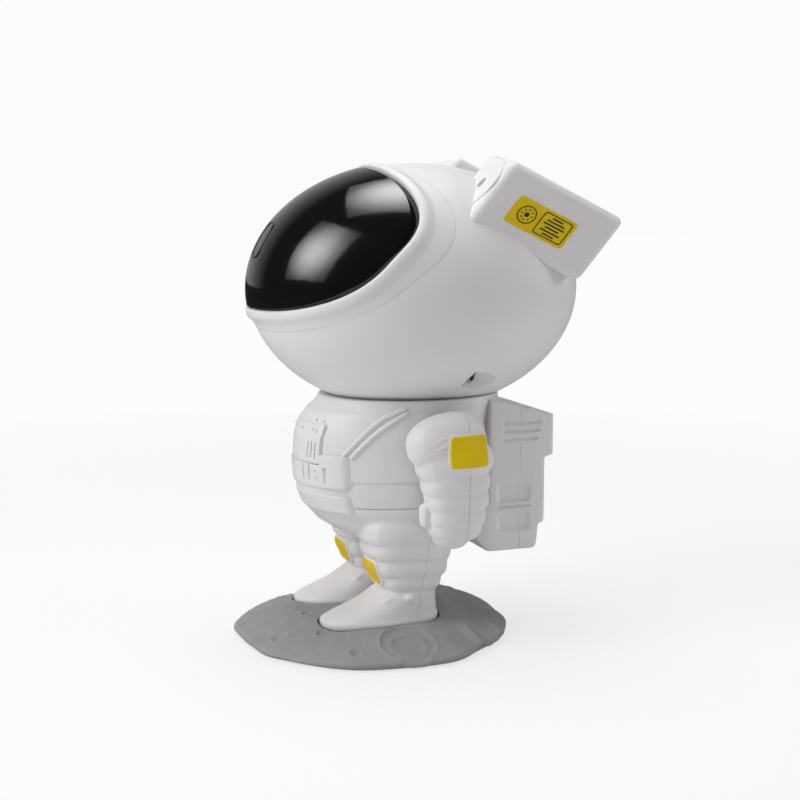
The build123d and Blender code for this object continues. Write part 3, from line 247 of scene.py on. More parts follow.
def moonRock(name, colour, cloud):  # matt cast resin with a gritty surface
    material, tree, bsdf = shaded(name)
    where = node(tree, "ShaderNodeTexCoord")
    swell = node(tree, "ShaderNodeTexNoise", {"Scale": 55.0, "Detail": 6.0, "Roughness": 0.62})
    grit = node(tree, "ShaderNodeTexNoise", {"Scale": 900.0, "Detail": 3.0})
    heights = node(tree, "ShaderNodeMath", {1: 0.16}, operation="MULTIPLY_ADD")
    ramp = node(tree, "ShaderNodeValToRGB")
    for stop, place, shade in zip(ramp.color_ramp.elements, (0.32, 0.7), (cloud, colour)):
        stop.position = place
        stop.color = (*shade, 1)
    # painted highlight: the rock's raised edges and ridge tops are drawn in a lighter colour
    edgeHighlight = node(tree, "ShaderNodeGroup", {"Highlight Colour": (0.42, 0.42, 0.42, 1), "Amount": 0.35},
                node_tree=edgeHighlightGroup)
    bump = node(tree, "ShaderNodeBump", {"Strength": 0.35, "Distance": 0.0012})
    wire(where, "Object", swell, "Vector")
    wire(where, "Object", grit, "Vector")
    wire(grit, "Fac", heights, 0)
    wire(swell, "Fac", heights, 2)
    wire(swell, "Fac", ramp, "Fac")
    wire(ramp, "Color", edgeHighlight, "Colour")
    wire(edgeHighlight, "Colour", bsdf, "Base Color")
    wire(heights, 0, bump, "Height")
    wire(bump, "Normal", bsdf, "Normal")
    bsdf.inputs["Roughness"].default_value = 0.72
    bsdf.inputs["Specular IOR Level"].default_value = 0.35
    return material


finishes = {
    "white_shell": plastic("whiteShell", (0.80, 0.785, 0.79), (0.775, 0.76, 0.765), 0.47, 0.14),
    "yellow": plastic("patchYellow", (0.80, 0.58, 0.004), (0.76, 0.55, 0.004), 0.5, 0.1,
                      Specular_IOR_Level=0.2),
    "visor_black": plastic("visorBlack", (0.004, 0.004, 0.005), (0.006, 0.006, 0.007), 0.10, 0.0,
                           IOR=1.65, Specular_IOR_Level=0.5),
    "window_clear": plastic("windowSmoke", (0.05, 0.05, 0.055), (0.07, 0.07, 0.075), 0.12, 0.0,
                            Transmission_Weight=0.35),
    "lens_clear": plastic("lensClear", (0.9, 0.92, 0.94), (0.88, 0.9, 0.92), 0.06, 0.0,
                          Transmission_Weight=0.9),
    "frame_black": plastic("frameBlack", (0.02, 0.02, 0.022), (0.03, 0.03, 0.032), 0.5, 0.15),
    "pad_rubber": plastic("padRubber", (0.035, 0.035, 0.037), (0.05, 0.05, 0.052), 0.75, 0.3, 1800.0),
    "base_grey": plastic("baseGrey", (0.20, 0.205, 0.21), (0.17, 0.175, 0.18), 0.6, 0.2),
    "board_green": plastic("boardGreen", (0.02, 0.16, 0.06), (0.015, 0.12, 0.05), 0.38, 0.1),
    "board_metal": plastic("boardMetal", (0.62, 0.63, 0.65), (0.5, 0.51, 0.53), 0.35, 0.15, Metallic=1.0),
    "led_yellow": plastic("ledYellow", (0.9, 0.75, 0.2), (0.85, 0.68, 0.15), 0.3, 0.0),
    "steel": plastic("screwSteel", (0.55, 0.56, 0.58), (0.45, 0.46, 0.48), 0.32, 0.1, Metallic=1.0),
    "motor_steel": plastic("motorSteel", (0.6, 0.6, 0.62), (0.5, 0.5, 0.52), 0.28, 0.1, Metallic=1.0),
    "brass": plastic("brass", (0.75, 0.52, 0.2), (0.66, 0.44, 0.16), 0.3, 0.1, Metallic=1.0),
    "moon_grey": moonRock("moonGrey", (0.345, 0.345, 0.345), (0.30, 0.30, 0.302)),
}

for entry in frame["record"]["subparts"]:
    data = nodes[entry["node"]].data
    data.materials.clear()
    data.materials.append(finishes[entry["material_slot"]])
print("materials:", len(finishes))


# floor

floorLook = {
    "reach": 6.0,
    "paper": (0.88, 0.88, 0.885, 1), "white": (0.975, 0.975, 0.98, 1),
    "mirrored": (0.03, 0.03, 0.03, 1),  # the visor mirrors a dark table
    # distances between which the floor turns white, and its whiteness at them
    "fade": {"From Min": 0.30, "From Max": 0.75, "To Min": 0.72, "To Max": 1.0},
}

floorMesh = bmesh.new()
bmesh.ops.create_grid(floorMesh, x_segments=1, y_segments=1, size=floorLook["reach"])
floorData = bpy.data.meshes.new("floor")
floorMesh.to_mesh(floorData)
floorMesh.free()
floor = placed("floor", floorData)
floorPaint = bpy.data.materials.new("floorPaint")
floorPaint.use_nodes = True
tree = floorPaint.node_tree
tree.nodes.clear()
rays = node(tree, "ShaderNodeLightPath")
cameraOrGlossy = node(tree, "ShaderNodeMath", operation="MAXIMUM")
anySeen = node(tree, "ShaderNodeMath", operation="MAXIMUM")
floorPlace = node(tree, "ShaderNodeTexCoord")
distance = node(tree, "ShaderNodeVectorMath", operation="LENGTH")
fade = node(tree, "ShaderNodeMapRange", floorLook["fade"])
howWhite = node(tree, "ShaderNodeMath", operation="MULTIPLY")
fullGloss = node(tree, "ShaderNodeMath", operation="MAXIMUM")
paper = node(tree, "ShaderNodeBsdfDiffuse", {"Color": floorLook["paper"]})
darkened = node(tree, "ShaderNodeMix", {"A": floorLook["white"], "B": floorLook["mirrored"]},
                data_type="RGBA")
glow = node(tree, "ShaderNodeEmission")
floorMix = node(tree, "ShaderNodeMixShader")
floorOut = node(tree, "ShaderNodeOutputMaterial")
wire(rays, "Is Glossy Ray", darkened, "Factor")
wire(darkened, "Result", glow, "Color")
wire(rays, "Is Glossy Ray", fullGloss, 0)
wire(rays, "Is Camera Ray", cameraOrGlossy, 0)
wire(rays, "Is Glossy Ray", cameraOrGlossy, 1)
wire(cameraOrGlossy, 0, anySeen, 0)
wire(rays, "Is Transmission Ray", anySeen, 1)
wire(floorPlace, "Object", distance, 0)
wire(distance, "Value", fade, "Value")
wire(fade, "Result", howWhite, 0)
wire(anySeen, 0, howWhite, 1)
wire(howWhite, 0, fullGloss, 1)
wire(fullGloss, 0, floorMix, "Fac")
wire(paper, 0, floorMix, 1)
wire(glow, 0, floorMix, 2)
wire(floorMix, 0, floorOut, "Surface")
floorData.materials.append(floorPaint)
print("floor and light ready")


# mesh helpers, in millimetres until a piece is finished

unit = 0.001  # metres in a millimetre
bothSides = ((1, "left"), (-1, "right"))


def outward(bm):
    bmesh.ops.recalc_face_normals(bm, faces=bm.faces)


def objectOf(name, bm, scale=unit):  # a form becomes an object of the scene
    bmesh.ops.scale(bm, vec=(scale, scale, scale), verts=bm.verts)
    data = bpy.data.meshes.new(name)
    bm.to_mesh(data)
    bm.free()
    return placed(name, data)


def meshOf(holder):  # what an object looks like with its modifiers
    return bpy.data.meshes.new_from_object(holder.evaluated_get(bpy.context.evaluated_depsgraph_get()))


def formOf(holder):  # an object becomes a form again, with its modifiers applied
    data = meshOf(holder)
    bpy.data.objects.remove(holder)
    bm = bmesh.new()
    bm.from_mesh(data)
    bpy.data.meshes.remove(data)
    return bm


def ring(bm, centre, halfX, halfY, squareness, sides):
    made = bmesh.ops.create_circle(bm, cap_ends=False, segments=sides, radius=1.0)["verts"]
    own = set(made)
    for v in made:
        reach = (abs(v.co.x) ** squareness + abs(v.co.y) ** squareness) ** (1 / squareness)
        v.co = Vector((v.co.x / reach * halfX, v.co.y / reach * halfY, 0)) + Vector(centre)
    return [e for e in bm.edges if all(v in own for v in e.verts)]


def stacked(bm, rings):  # closed form through rings: centre, half width, half depth, squareness, sides
    edges = [ring(bm, *values) for values in rings]
    for low, high in zip(edges, edges[1:]):
        bmesh.ops.bridge_loops(bm, edges=low + high)
    for end in (edges[0], edges[-1]):
        bmesh.ops.edgeloop_fill(bm, edges=end)


def blob(bm, centre, radii, lean=0, squareness=2.0):
    made = bmesh.ops.create_uvsphere(bm, u_segments=32, v_segments=20, radius=1.0)
    place = Matrix.Translation(centre) @ Matrix.Rotation(radians(lean), 4, "X")
    for v in made["verts"]:
        reach = sum(abs(c) ** squareness for c in v.co) ** (1 / squareness)
        v.co = place @ Vector([c / reach * r for c, r in zip(v.co, radii)])


def softBlock(bm, centre, sizes, edge, segments=2):
    verts = bmesh.ops.create_cube(bm, size=1.0)["verts"]
    for v in verts:
        v.co = Vector([c * s for c, s in zip(v.co, sizes)])
    edges = list({e for v in verts for e in v.link_edges})
    rounded = bmesh.ops.bevel(bm, geom=edges, offset=edge, offset_type="OFFSET", affect="EDGES",
                              segments=segments, profile=0.5, material=-1)
    found = {v for f in rounded["faces"] for v in f.verts} | {v for v in verts if v.is_valid}
    for v in found:
        v.co = v.co + Vector(centre)


def finished(name, bm, finish, body, *standsFor):
    piece = objectOf(name, bm)
    piece.data.shade_smooth()
    piece.data.materials.append(finishes[finish])
    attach(piece, body)
    if standsFor:
        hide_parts(*standsFor)
    return piece


def settled(bm, voxel, rounds):  # fuses what overlaps and softens the creases
    holder = objectOf("raw", bm, 1.0)
    remesh = holder.modifiers.new("remesh", "REMESH")
    remesh.mode = "VOXEL"
    remesh.voxel_size = voxel
    smooth = holder.modifiers.new("smooth", "SMOOTH")
    smooth.factor = 0.5
    smooth.iterations = rounds
    return formOf(holder)


def halfOf(bm, place, normal, gap):  # the side of a plane that its normal points to, closed
    half = bm.copy()
    shifted = Vector(place) + Vector(normal).normalized() * gap
    bmesh.ops.bisect_plane(half, geom=half.verts[:] + half.edges[:] + half.faces[:], dist=1e-5,
                           plane_co=shifted, plane_no=normal, clear_inner=True)
    rim = [e for e in half.edges if e.is_boundary]
    bmesh.ops.holes_fill(half, edges=rim, sides=0)
    outward(half)
    return half


def creased(piece, angle):
    piece.data.set_sharp_from_angle(angle=radians(angle))


def loopsJoined(bm, loops, closed=False):
    for low, high in zip(loops, loops[1:] + loops[:1] if closed else loops[1:]):
        count = len(low)
        for k in range(count):
            bm.faces.new((low[k], low[(k + 1) % count], high[(k + 1) % count], high[k]))


def capped(bm, loops):  # a closed form through loops of corners
    loopsJoined(bm, loops)
    bm.faces.new(loops[0])
    bm.faces.new(loops[-1])
    outward(bm)


def cutBy(piece, cutter):  # takes the cutter's form out of the piece
    tool = objectOf("cutter", cutter)
    cut = piece.modifiers.new("cut", "BOOLEAN")
    cut.operation = "DIFFERENCE"
    cut.solver = "MANIFOLD"
    cut.object = tool
    result = meshOf(piece)
    piece.modifiers.remove(cut)
    spent = (piece.data, tool.data)
    piece.data = result
    bpy.data.objects.remove(tool)
    for data in spent:
        bpy.data.meshes.remove(data)


def swept(name, points, kind, radius, resolution, closed=False):  # a round rod through points
    curve = bpy.data.curves.new(name, "CURVE")
    spline = curve.splines.new(kind)
    spline.points.add(len(points) - 1)
    for point, place in zip(spline.points, points):
        point.co = (*place, 1)
    spline.use_cyclic_u = closed
    spline.order_u = 3
    spline.use_endpoint_u = True
    spline.resolution_u = 10
    curve.dimensions = "3D"
    curve.bevel_depth = radius
    curve.bevel_resolution = resolution
    curve.use_fill_caps = not closed
    bm = formOf(placed(name, curve))
    outward(bm)
    return bm


def arc(x, y, radius, start, steps):  # a quarter of a circle
    turns = [radians(start + 90 * k / steps) for k in range(steps + 1)]
    return [(x + radius * cos(turn), y + radius * sin(turn)) for turn in turns]


# suit: belly, legs and boots

suit = {
    "voxel": 0.62, "softening": 7,
    # height, half depth, centre y
    "belly": [(50.0, 32.0, 15.0), (54.5, 37.5, 13.5), (61.5, 43.0, 12.6), (68.0, 44.6, 11.4),
              (77.0, 45.1, 11.0), (86.0, 45.6, 11.0), (94.0, 45.9, 12.1), (99.0, 45.4, 13.4),
              (104.5, 44.4, 15.4), (108.0, 42.6, 18.2), (109.6, 42.0, 18.7), (111.1, 41.8, 18.9)],
    "halfWidth": 37.4,
    "narrowing": (4.0, 44.0),  # added to the half depth, and where the full width is reached
    "legX": 20.8,
    # centre y, centre z, half width, half depth, half height, lean
    "legFolds": [(9.4, 51.0, 16.6, 21.6, 8.4, -5), (9.7, 43.6, 16.3, 19.9, 7.0, -5),
                 (10.2, 36.6, 15.7, 17.6, 7.0, -3), (10.2, 30.4, 14.7, 14.6, 6.4, -2)],
    # from the sole's outline up to the ankle: height, centre y, half depth, half width
    "boot": [(9.9, -2.8, 26.8, 15.0), (11.6, -2.8, 27.4, 15.6), (13.2, -2.7, 27.3, 15.5),
             (13.9, -2.3, 26.3, 15.0), (15.6, -0.6, 24.4, 14.6), (18.0, 2.6, 21.0, 14.2),
             (20.4, 5.4, 17.8, 13.9), (23.2, 7.6, 15.6, 13.6), (25.8, 9.9, 13.2, 13.1),
             (28.2, 10.4, 13.7, 13.4)],
    "bootSquareness": 2.25,
    # folds over the instep: centre y, centre z, radii, lean
    "instep": [(-6.6, 19.2, (12.2, 7.0, 2.4), 33), (-1.8, 22.8, (12.7, 7.4, 2.5), 28)],
    "partingPlace": (0.0, 20.96, 92.0), "partingNormal": (0.0, -1.0, 0.128), "partingGap": 0.06,
}


def bellyHalfWidth(depth):
    added, full = suit["narrowing"]
    return suit["halfWidth"] * min(1.0, (depth + added) / full)


def bellyRings():
    return [((0, centreY, z), bellyHalfWidth(depth), depth, 2.0, 72) for z, depth, centreY in suit["belly"]]


form = bmesh.new()
stacked(form, bellyRings())
for side in (-1, 1):
    x = side * suit["legX"]
    for y, z, halfX, halfY, halfZ, lean in suit["legFolds"]:
        blob(form, (x, y, z), (halfX, halfY, halfZ), lean, 3.0)
    blob(form, (x, 10.1, 39.0), (14.2, 15.4, 20.0), squareness=2.6)
    stacked(form, [((x, centreY, z), halfX, halfY, suit["bootSquareness"], 48)
                   for z, centreY, halfY, halfX in suit["boot"]])
    for y, z, radii, lean in suit["instep"]:
        blob(form, (x, y, z), radii, lean)
    # round boss on the outer ankle
    blob(form, (x + side * 13.6, 6.8, 23.0), (1.9, 2.2, 2.2))
# shoulders: a boss behind each arm
for side in (-1, 1):
    blob(form, (side * 33.0, 20.9, 92.0), (4.9, 9.0, 9.0))
suitForm = settled(form, suit["voxel"], suit["softening"])
suitSurface = BVHTree.FromBMesh(suitForm)
suitShells = []
for name, towards, replaced in (("suitFrontShell", 1, "suit_front"), ("suitRearShell", -1, "suit_rear")):
    half = halfOf(suitForm, suit["partingPlace"], [towards * c for c in suit["partingNormal"]],
                  suit["partingGap"])
    suitShells.append(finished(name, half, "white_shell", "stand", replaced))
suitForm.free()
print("suit:", *[len(shell.data.polygons) for shell in suitShells])

# arms

arm = {
    # seams between the shoulder dome and the sleeve, as (y, z)
    "piping": [[(0.6, 88.0), (3.0, 90.6), (7.2, 94.6), (12.4, 98.0), (18.4, 99.8)],
               [(3.6, 87.4), (6.0, 89.8), (9.6, 92.8), (13.2, 95.0), (15.0, 95.8)]],
    "pipingWidth": 1.0, "pipingRise": 0.4,
    "voxel": 0.42, "softening": 6,
    "centreX": 49.4, "partingY": 24.9, "gap": 0.09,
    # centre x offset, y, z, half width, half depth, half height, squareness, lean
    "folds": [
        (0.0, 17.9, 95.4, 10.8, 17.9, 12.1, 2.3, 12),
        (0.5, 21.6, 86.2, 11.2, 17.5, 9.8, 2.4, 8),
        (0.3, 22.2, 77.4, 10.8, 15.0, 6.7, 3.0, 5),
        (0.2, 22.8, 70.2, 10.4, 13.9, 6.6, 3.0, 3),
        (0.0, 22.6, 63.2, 9.9, 12.7, 6.4, 3.0, 0),
        (-0.4, 22.2, 57.8, 9.0, 12.0, 6.8, 2.5, 0),
        (-0.6, 20.4, 54.0, 7.6, 8.0, 5.9, 2.3, 0),
        (-1.0, 8.6, 63.4, 3.7, 2.0, 5.1, 3.2, 0),
        (-0.8, 12.4, 60.2, 3.6, 4.6, 2.6, 2.6, 0),
        (-0.8, 11.8, 66.6, 3.4, 4.0, 1.8, 2.6, 0),
        (0.0, 21.0, 76.0, 9.4, 13.4, 18.0, 2.0, 0),
    ],
}

armForm = bmesh.new()
for offset, y, z, halfX, halfY, halfZ, squareness, lean in arm["folds"]:
    blob(armForm, (arm["centreX"] + offset, y, z), (halfX, halfY, halfZ), lean, squareness)
softArm = settled(armForm, arm["voxel"], arm["softening"])


def armOn(side):  # the left arm's form, or its mirror image
    whole = softArm.copy()
    if side < 0:
        bmesh.ops.scale(whole, vec=(-1, 1, 1), verts=whole.verts)
        bmesh.ops.reverse_faces(whole, faces=whole.faces)
    return whole


sleeveSurfaces = {}
for side, sideName in bothSides:
    whole = armOn(side)
    sleeveSurfaces[side] = BVHTree.FromBMesh(whole)
    for normalY, endName in ((-1, "front"), (1, "rear")):
        piece = finished(sideName + "Arm" + endName.capitalize(),
                         halfOf(whole, (0, arm["partingY"], 0), (0, normalY, 0), arm["gap"]),
                         "white_shell", sideName + "_arm", sideName + "_arm_" + endName)
        creased(piece, 50)
    whole.free()
print("arms:", len(softArm.faces))
softArm.free()


# padded plates laid on a form

laying = {"from": 30, "sunk": 0.7, "skirt": 1.2, "fairSkirt": 2.6}


def laid(name, form, centre, inward, across, size, rise, squareness, edge, finish, body, *standsFor,
         edgeRise=0.0, segments=28, fair=0):
    # a plate with rounded corners and edges that follows the form under it
    bm = bmesh.new()
    bmesh.ops.create_grid(bm, x_segments=segments, y_segments=28, size=1.0)
    inward, across = Vector(inward).normalized(), Vector(across).normalized()
    up = across.cross(inward)
    centre = Vector(centre)
    width, height = size
    depth, places = {}, {}
    for v in bm.verts:
        x, y = v.co.x, v.co.y
        square = max(abs(x), abs(y))
        if square > 1e-6:
            reach = (abs(x) ** squareness + abs(y) ** squareness) ** (1 / squareness)
            x, y = x * square / reach, y * square / reach
        face = centre + across * x * width / 2 + up * y * height / 2
        hit = form.ray_cast(face - inward * laying["from"], inward)[0]
        if hit is None:
            hit = form.find_nearest(face)[0]
        depth[v] = (hit - centre).dot(inward)
        places[v] = (x, square, hit)
    for _ in range(fair):  # evens out the folds underneath
        depth = {v: sum(depth[e.other_vert(v)] for e in v.link_edges) / len(v.link_edges) for v in bm.verts}
    under = 0.0
    if fair:
        under = max(depth[v] - (places[v][2] - centre).dot(inward) for v in bm.verts) * laying["sunk"]
    for v, (x, square, hit) in places.items():
        hit = hit + inward * (depth[v] - (hit - centre).dot(inward) - under)
        margin = (1 - square) * min(width, height) / 2
        lift = rise + edgeRise * abs(x) ** 3
        if margin < edge:
            lift -= edge * (1 - sqrt(max(0.0, 1 - (1 - margin / edge) ** 2)))
        v.co = hit - inward * lift
    rim = [e for e in bm.edges if e.is_boundary]
    skirt = bmesh.ops.extrude_edge_only(bm, edges=rim)
    low = [g for g in skirt["geom"] if isinstance(g, bmesh.types.BMVert)]
    drop = rise + edgeRise + laying["fairSkirt" if fair else "skirt"]
    bmesh.ops.translate(bm, verts=low, vec=inward * drop)
    bmesh.ops.holes_fill(bm, edges=[e for e in bm.edges if e.is_boundary], sides=0)
    outward(bm)
    piece = finished(name, bm, finish, body, *standsFor)
    creased(piece, 60)
    return piece


patches = {
    # width and height, place, the frame's width, the patch's rounded edge, rounds of evening out
    "knee": ((15.4, 9.6), (0.4, -30.0, 34.0), 1.1, 0.4, 60),
    "arm": ((17.8, 13.8), (60.0, 24.2, 92.2), 0.6, 0.45, 30),
    "frameRise": 0.45, "patchRise": 0.95, "frameSquareness": 7, "patchSquareness": 9, "frameEdge": 0.4,
}

for side, sideName in bothSides:
    for limb, surface, body in (("knee", suitSurface, "stand"),
                                ("arm", sleeveSurfaces[side], sideName + "_arm")):
        (w, h), (x, y, z), f, edge, fair = patches[limb]
        onKnee = limb == "knee"
        place = Vector((side * (suit["legX"] + x if onKnee else x), y, z))
        inward, across = ((0, 1, 0), (1, 0, 0)) if onKnee else ((-side, 0, 0), (0, 1, 0))
        laid(sideName + limb.capitalize() + "Frame", surface, place, inward, across, (w + 2 * f, h + 2 * f),
             patches["frameRise"], patches["frameSquareness"], patches["frameEdge"], "white_shell", body,
             fair=fair)
        laid(sideName + limb.capitalize() + "Patch", surface, place, inward, across, (w, h),
             patches["patchRise"], patches["patchSquareness"], edge, "yellow", body,
             sideName + "_" + limb + "_patch", fair=fair)
print("patches laid")


# chest, belt and straps

chest = {
    # centre z, width, height, rise in the middle and added at the ends
    "belt": (80.0, 57.0, 14.8, 1.3, 1.7),
    "flap": (65.4, 56.4, 7.8, 0.35, 2.3),
    "board": (91.8, 37.6, 17.6, 0.35, 1.6),
    "squareness": 30, "edge": 0.25,
    "beltNotch": (37.9, 82.7),  # where the board comes down into the belt
    "strapWidth": 1.9, "strapRise": 1.3,
    # the strap's upper and lower ridges, as (y, z) on the side of the belly
    "ridges": [[(-21.6, 86.6), (-15.8, 94.4), (-9.2, 100.9), (-1.9, 106.0), (4.4, 108.4)],
               [(-18.2, 86.6), (-12.7, 93.4), (-6.3, 99.2), (0.4, 103.8), (5.2, 106.4)]],
    # x, low z, high z, width of the slots in the belt and the board
    "slots": [(21.4, 74.4, 81.8, 1.5), (13.3, 75.4, 82.2, 0.9), (9.2, 76.0, 82.4, 0.8),
              (11.6, 85.3, 92.6, 0.9), (14.1, 85.4, 92.7, 0.9), (16.6, 85.2, 92.6, 0.9)],
    "slotDepth": 1.0,
    # x, z, radius of the studs
    "studs": [(11.2, 101.7, 0.75), (15.8, 101.6, 0.65), (12.6, 97.8, 0.7), (15.2, 97.0, 1.0),
              (3.2, 97.2, 1.0), (17.2, 77.0, 0.7), (16.4, 79.6, 0.5)],
    "studRise": 0.6,
    # height, depth and half width of the grooves round the belly
    "grooves": [(75.0, 0.55, 1.3), (64.1, 0.65, 0.38), (106.2, 0.12, 0.3)],
    "grooveReach": (0.4, 4.0, 96),  # how far the band stands out at its edges and behind, and its corners
}

bellySolid = bmesh.new()
stacked(bellySolid, bellyRings())
bellySurface = BVHTree.FromBMesh(bellySolid)
bellySolid.free()
plates = {}
for label in ("belt", "flap", "board"):
    z, w, h, rise, edgeRise = chest[label]
    plates[label] = laid("chest" + label.capitalize(), bellySurface, (0, -60, z), (0, 1, 0), (1, 0, 0),
                         (w, h), rise, chest["squareness"], chest["edge"], "white_shell", "stand",
                         edgeRise=edgeRise, segments=64)

notchWidth, notchFloor = chest["beltNotch"]
notch = bmesh.new()
softBlock(notch, (0, -40, notchFloor + 10), (notchWidth, 60, 20), 0.4)
cutBy(plates["belt"], notch)


def frontY(x, z):  # the plates' or the belly's front at a place
    found = [bellySurface.ray_cast(Vector((x, -90, z)), Vector((0, 1, 0)))[0].y]
    for piece in plates.values():
        hit, where = piece.ray_cast(Vector((x, -90, z)) / 1000, Vector((0, 1, 0)))[:2]
        if hit:
            found.append(where.y * 1000)
    return min(found)


for label, low, high in (("belt", 70, 83), ("board", 83, 101)):
    slots = bmesh.new()
    for side in (-1, 1):
        for x, z1, z2, width in chest["slots"]:
            middle = (z1 + z2) / 2
            if low < middle < high:
                place = (side * x, frontY(side * x, middle), middle)
                softBlock(slots, place, (width, 2 * chest["slotDepth"], z2 - z1), width * 0.3)
    cutBy(plates[label], slots)
    creased(plates[label], 50)
studs = bmesh.new()
for side in (-1, 1):
    for x, z, radius in chest["studs"]:
        place = (side * x, frontY(side * x, z) + 0.1, z)
        blob(studs, place, (radius, chest["studRise"], radius), squareness=2.6)
finished("chestStuds", studs, "white_shell", "stand")


def ridgeOn(name, form, points, side, width, rise, body):
    # a rounded ridge drawn over the form along side points (y, z)
    radius = width * 0.55
    places = []
    for y, z in points:
        hit = form.ray_cast(Vector((side * 90, y, z)), Vector((-side, 0, 0)))[0]
        if hit is None:
            hit = form.find_nearest(Vector((side * 40, y, z)))[0]
        places.append((hit.x + side * (rise - radius), hit.y, hit.z))
    finished(name, swept(name, places, "NURBS", radius, 4), "white_shell", body)


def grooveOutlines(height, depth, half):
    # corners of a band round the belly, whose inner edge is the groove
    edge, behind, corners = chest["grooveReach"]
    turns = [2 * pi * k / corners for k in range(corners)]
    outlines = []
    for z, grow in ((height - half, edge), (height - half * 0.6, -depth), (height + half * 0.6, -depth),
                    (height + half, edge), (height + half, behind), (height - half, behind)):
        for (z1, depth1, y1), (z2, depth2, y2) in zip(suit["belly"], suit["belly"][1:]):
            if z1 <= z <= z2:
                part = (z - z1) / (z2 - z1)
                halfY, centreY = depth1 + (depth2 - depth1) * part, y1 + (y2 - y1) * part
        halfX = bellyHalfWidth(halfY)
        outlines.append([((halfX + grow) * cos(turn), centreY + (halfY + grow) * sin(turn), z)
                         for turn in turns])
    return outlines


for side, sideName in bothSides:
    for number, points in enumerate(arm["piping"]):
        ridgeOn(sideName + "ArmPiping" + str(number), sleeveSurfaces[side], points, side,
                arm["pipingWidth"], arm["pipingRise"], sideName + "_arm")
for side, sideName in bothSides:
    for number, points in enumerate(chest["ridges"]):
        ridgeOn("strap" + sideName.capitalize() + str(number), bellySurface, points, side,
                chest["strapWidth"], chest["strapRise"], "stand")
for groove in chest["grooves"]:
    for shell in suitShells:
        band = bmesh.new()
        loops = [[band.verts.new(v) for v in outline] for outline in grooveOutlines(*groove)]
        loopsJoined(band, loops, closed=True)
        outward(band)
        cutBy(shell, band)
for shell in suitShells:
    creased(shell, 50)
print("chest details laid")

# moon rock base

rock = {
    "top": 12.0, "edgeTop": 3.7, "slopeFrom": 0.55, "slopePower": 1.2, "foot": 0.85, "footInset": 1.2,
    # the uneven edge: degrees, reach
    "outline": [(-180, 62.4), (-164, 60.6), (-150, 61.4), (-127, 61.9), (-107.7, 64.0), (-88, 60.8),
                (-66, 63.4), (-44, 61.9), (-31, 63.3), (-20, 63.8), (-6, 62.6), (9.6, 64.1), (20, 64.8),
                (34, 60.9), (52, 63.6), (75.6, 64.4), (100, 64.6), (118, 62.4), (135, 63.6), (155, 61.2)],
    # size and height of the bumps of the ground
    "bumps": [(15, 0.7), (6, 0.32), (2.6, 0.12)],
    # x, y, radius, rim height, depth
    "craters": [(29.6, -32.2, 2.6, 0.5, 1.1), (20.3, -49.0, 4.0, 0.6, 1.3), (50.4, -23.4, 2.9, 0.55, 0.9),
                (4.2, -31.8, 2.6, 0.4, 1.0), (-41.5, -33.5, 3.4, 0.7, 1.7), (-44.5, -28.5, 3.0, 0.6, 1.4),
                (-24.5, 39.6, 3.1, 0.8, 2.2), (-22.6, 46.4, 3.2, 0.8, 2.2), (-45.0, 26.0, 5.4, 0.5, 1.1),
                (38.0, -39.0, 1.0, 0.15, 0.35), (-49.0, -2.0, 4.4, 0.45, 1.0), (5.0, 48.0, 2.2, 0.3, 0.7)],
    # x, y, radius, rim height, floor depth of the great crater's two rings
    "greatCrater": [(50.2, 0.4, 12.6, 0.95, 1.0), (50.4, 0.4, 7.6, 0.55, 0.6)],
    # ends, height and width of each ridge
    "ridges": [(-34, 30, -16, 52, 2.6, 11.0), (21, 44, 42, 50, 1.9, 2.8), (34, 33, 55, 36, 1.6, 3.0),
               (8, 47, 22, 60, 0.8, 3.0), (-52, 8, -36, 22, 0.9, 4.0), (-30, -42, -48, -38, 0.7, 3.6),
               (41, 37, 52, 45, -0.9, 3.4), (36, -30, 60, -32, 0.5, 4.5)],
    "spokes": 440, "firstRing": 16.0, "ringStep": 0.52, "innerRings": 4,
    "nose": [(1.7, 0.0), (0.9, 0.35), (0.3, 1.0), (0.0, 1.9), (0.25, 2.6)],  # inset and drop of the edge
    "plateSeat": (50.15, 2.8), "cavity": (37.0, 8.0),  # radius and height of the hollows underneath
    "recess": (-2.8, 16.1, 28.4, (9.8, 17.0)),  # under each boot: centre y, half sizes, low and high
}


def cornerReach(turn):  # straight edges from corner to corner of the outline
    corners = rock["outline"] + [(rock["outline"][0][0] + 360, rock["outline"][0][1])]
    turn = (turn + 180) % 360 - 180
    for (low, lowReach), (high, highReach) in zip(corners, corners[1:]):
        if low <= turn <= high:
            first, second, here = radians(low), radians(high), radians(turn)
            return (lowReach * highReach * sin(second - first)
                    / (lowReach * sin(here - first) + highReach * sin(second - here)))


def rockReach(turn):
    spread = (-5, -2.5, 0, 2.5, 5)
    return sum(cornerReach(turn + step) for step in spread) / len(spread)


def rockHeight(x, y, share):
    height = rock["top"]
    if share > rock["slopeFrom"]:
        fall = (share - rock["slopeFrom"]) / (1 - rock["slopeFrom"])
        height -= (rock["top"] - rock["edgeTop"]) * fall ** rock["slopePower"]
    rough = min(1.0, max(0.0, (share - 0.42) / 0.2))
    here = Vector((x, y, 0))
    height += rough * sum(rise * noise.noise(here / size) for size, rise in rock["bumps"])
    for x1, y1, x2, y2, rise, width in rock["ridges"]:
        along = Vector((x2 - x1, y2 - y1, 0))
        part = min(1.0, max(0.0, (here - Vector((x1, y1, 0))).dot(along) / along.length_squared))
        gap = (here - Vector((x1, y1, 0)) - along * part).length / width
        if gap < 2.6:
            height += rise * exp(-gap * gap)
    for x1, y1, radius, rim, depth in rock["craters"] + rock["greatCrater"]:
        gap = sqrt((x - x1) ** 2 + (y - y1) ** 2)
        if gap < radius + 5:
            height += rim * exp(-((gap - radius) / min(0.75, radius * 0.26)) ** 2)
            if radius > 7:
                height -= depth / (1 + exp((gap - radius + 0.5) * 2.4))
            elif gap < radius:
                height -= depth * (1 - (gap / radius) ** 2)
    return height


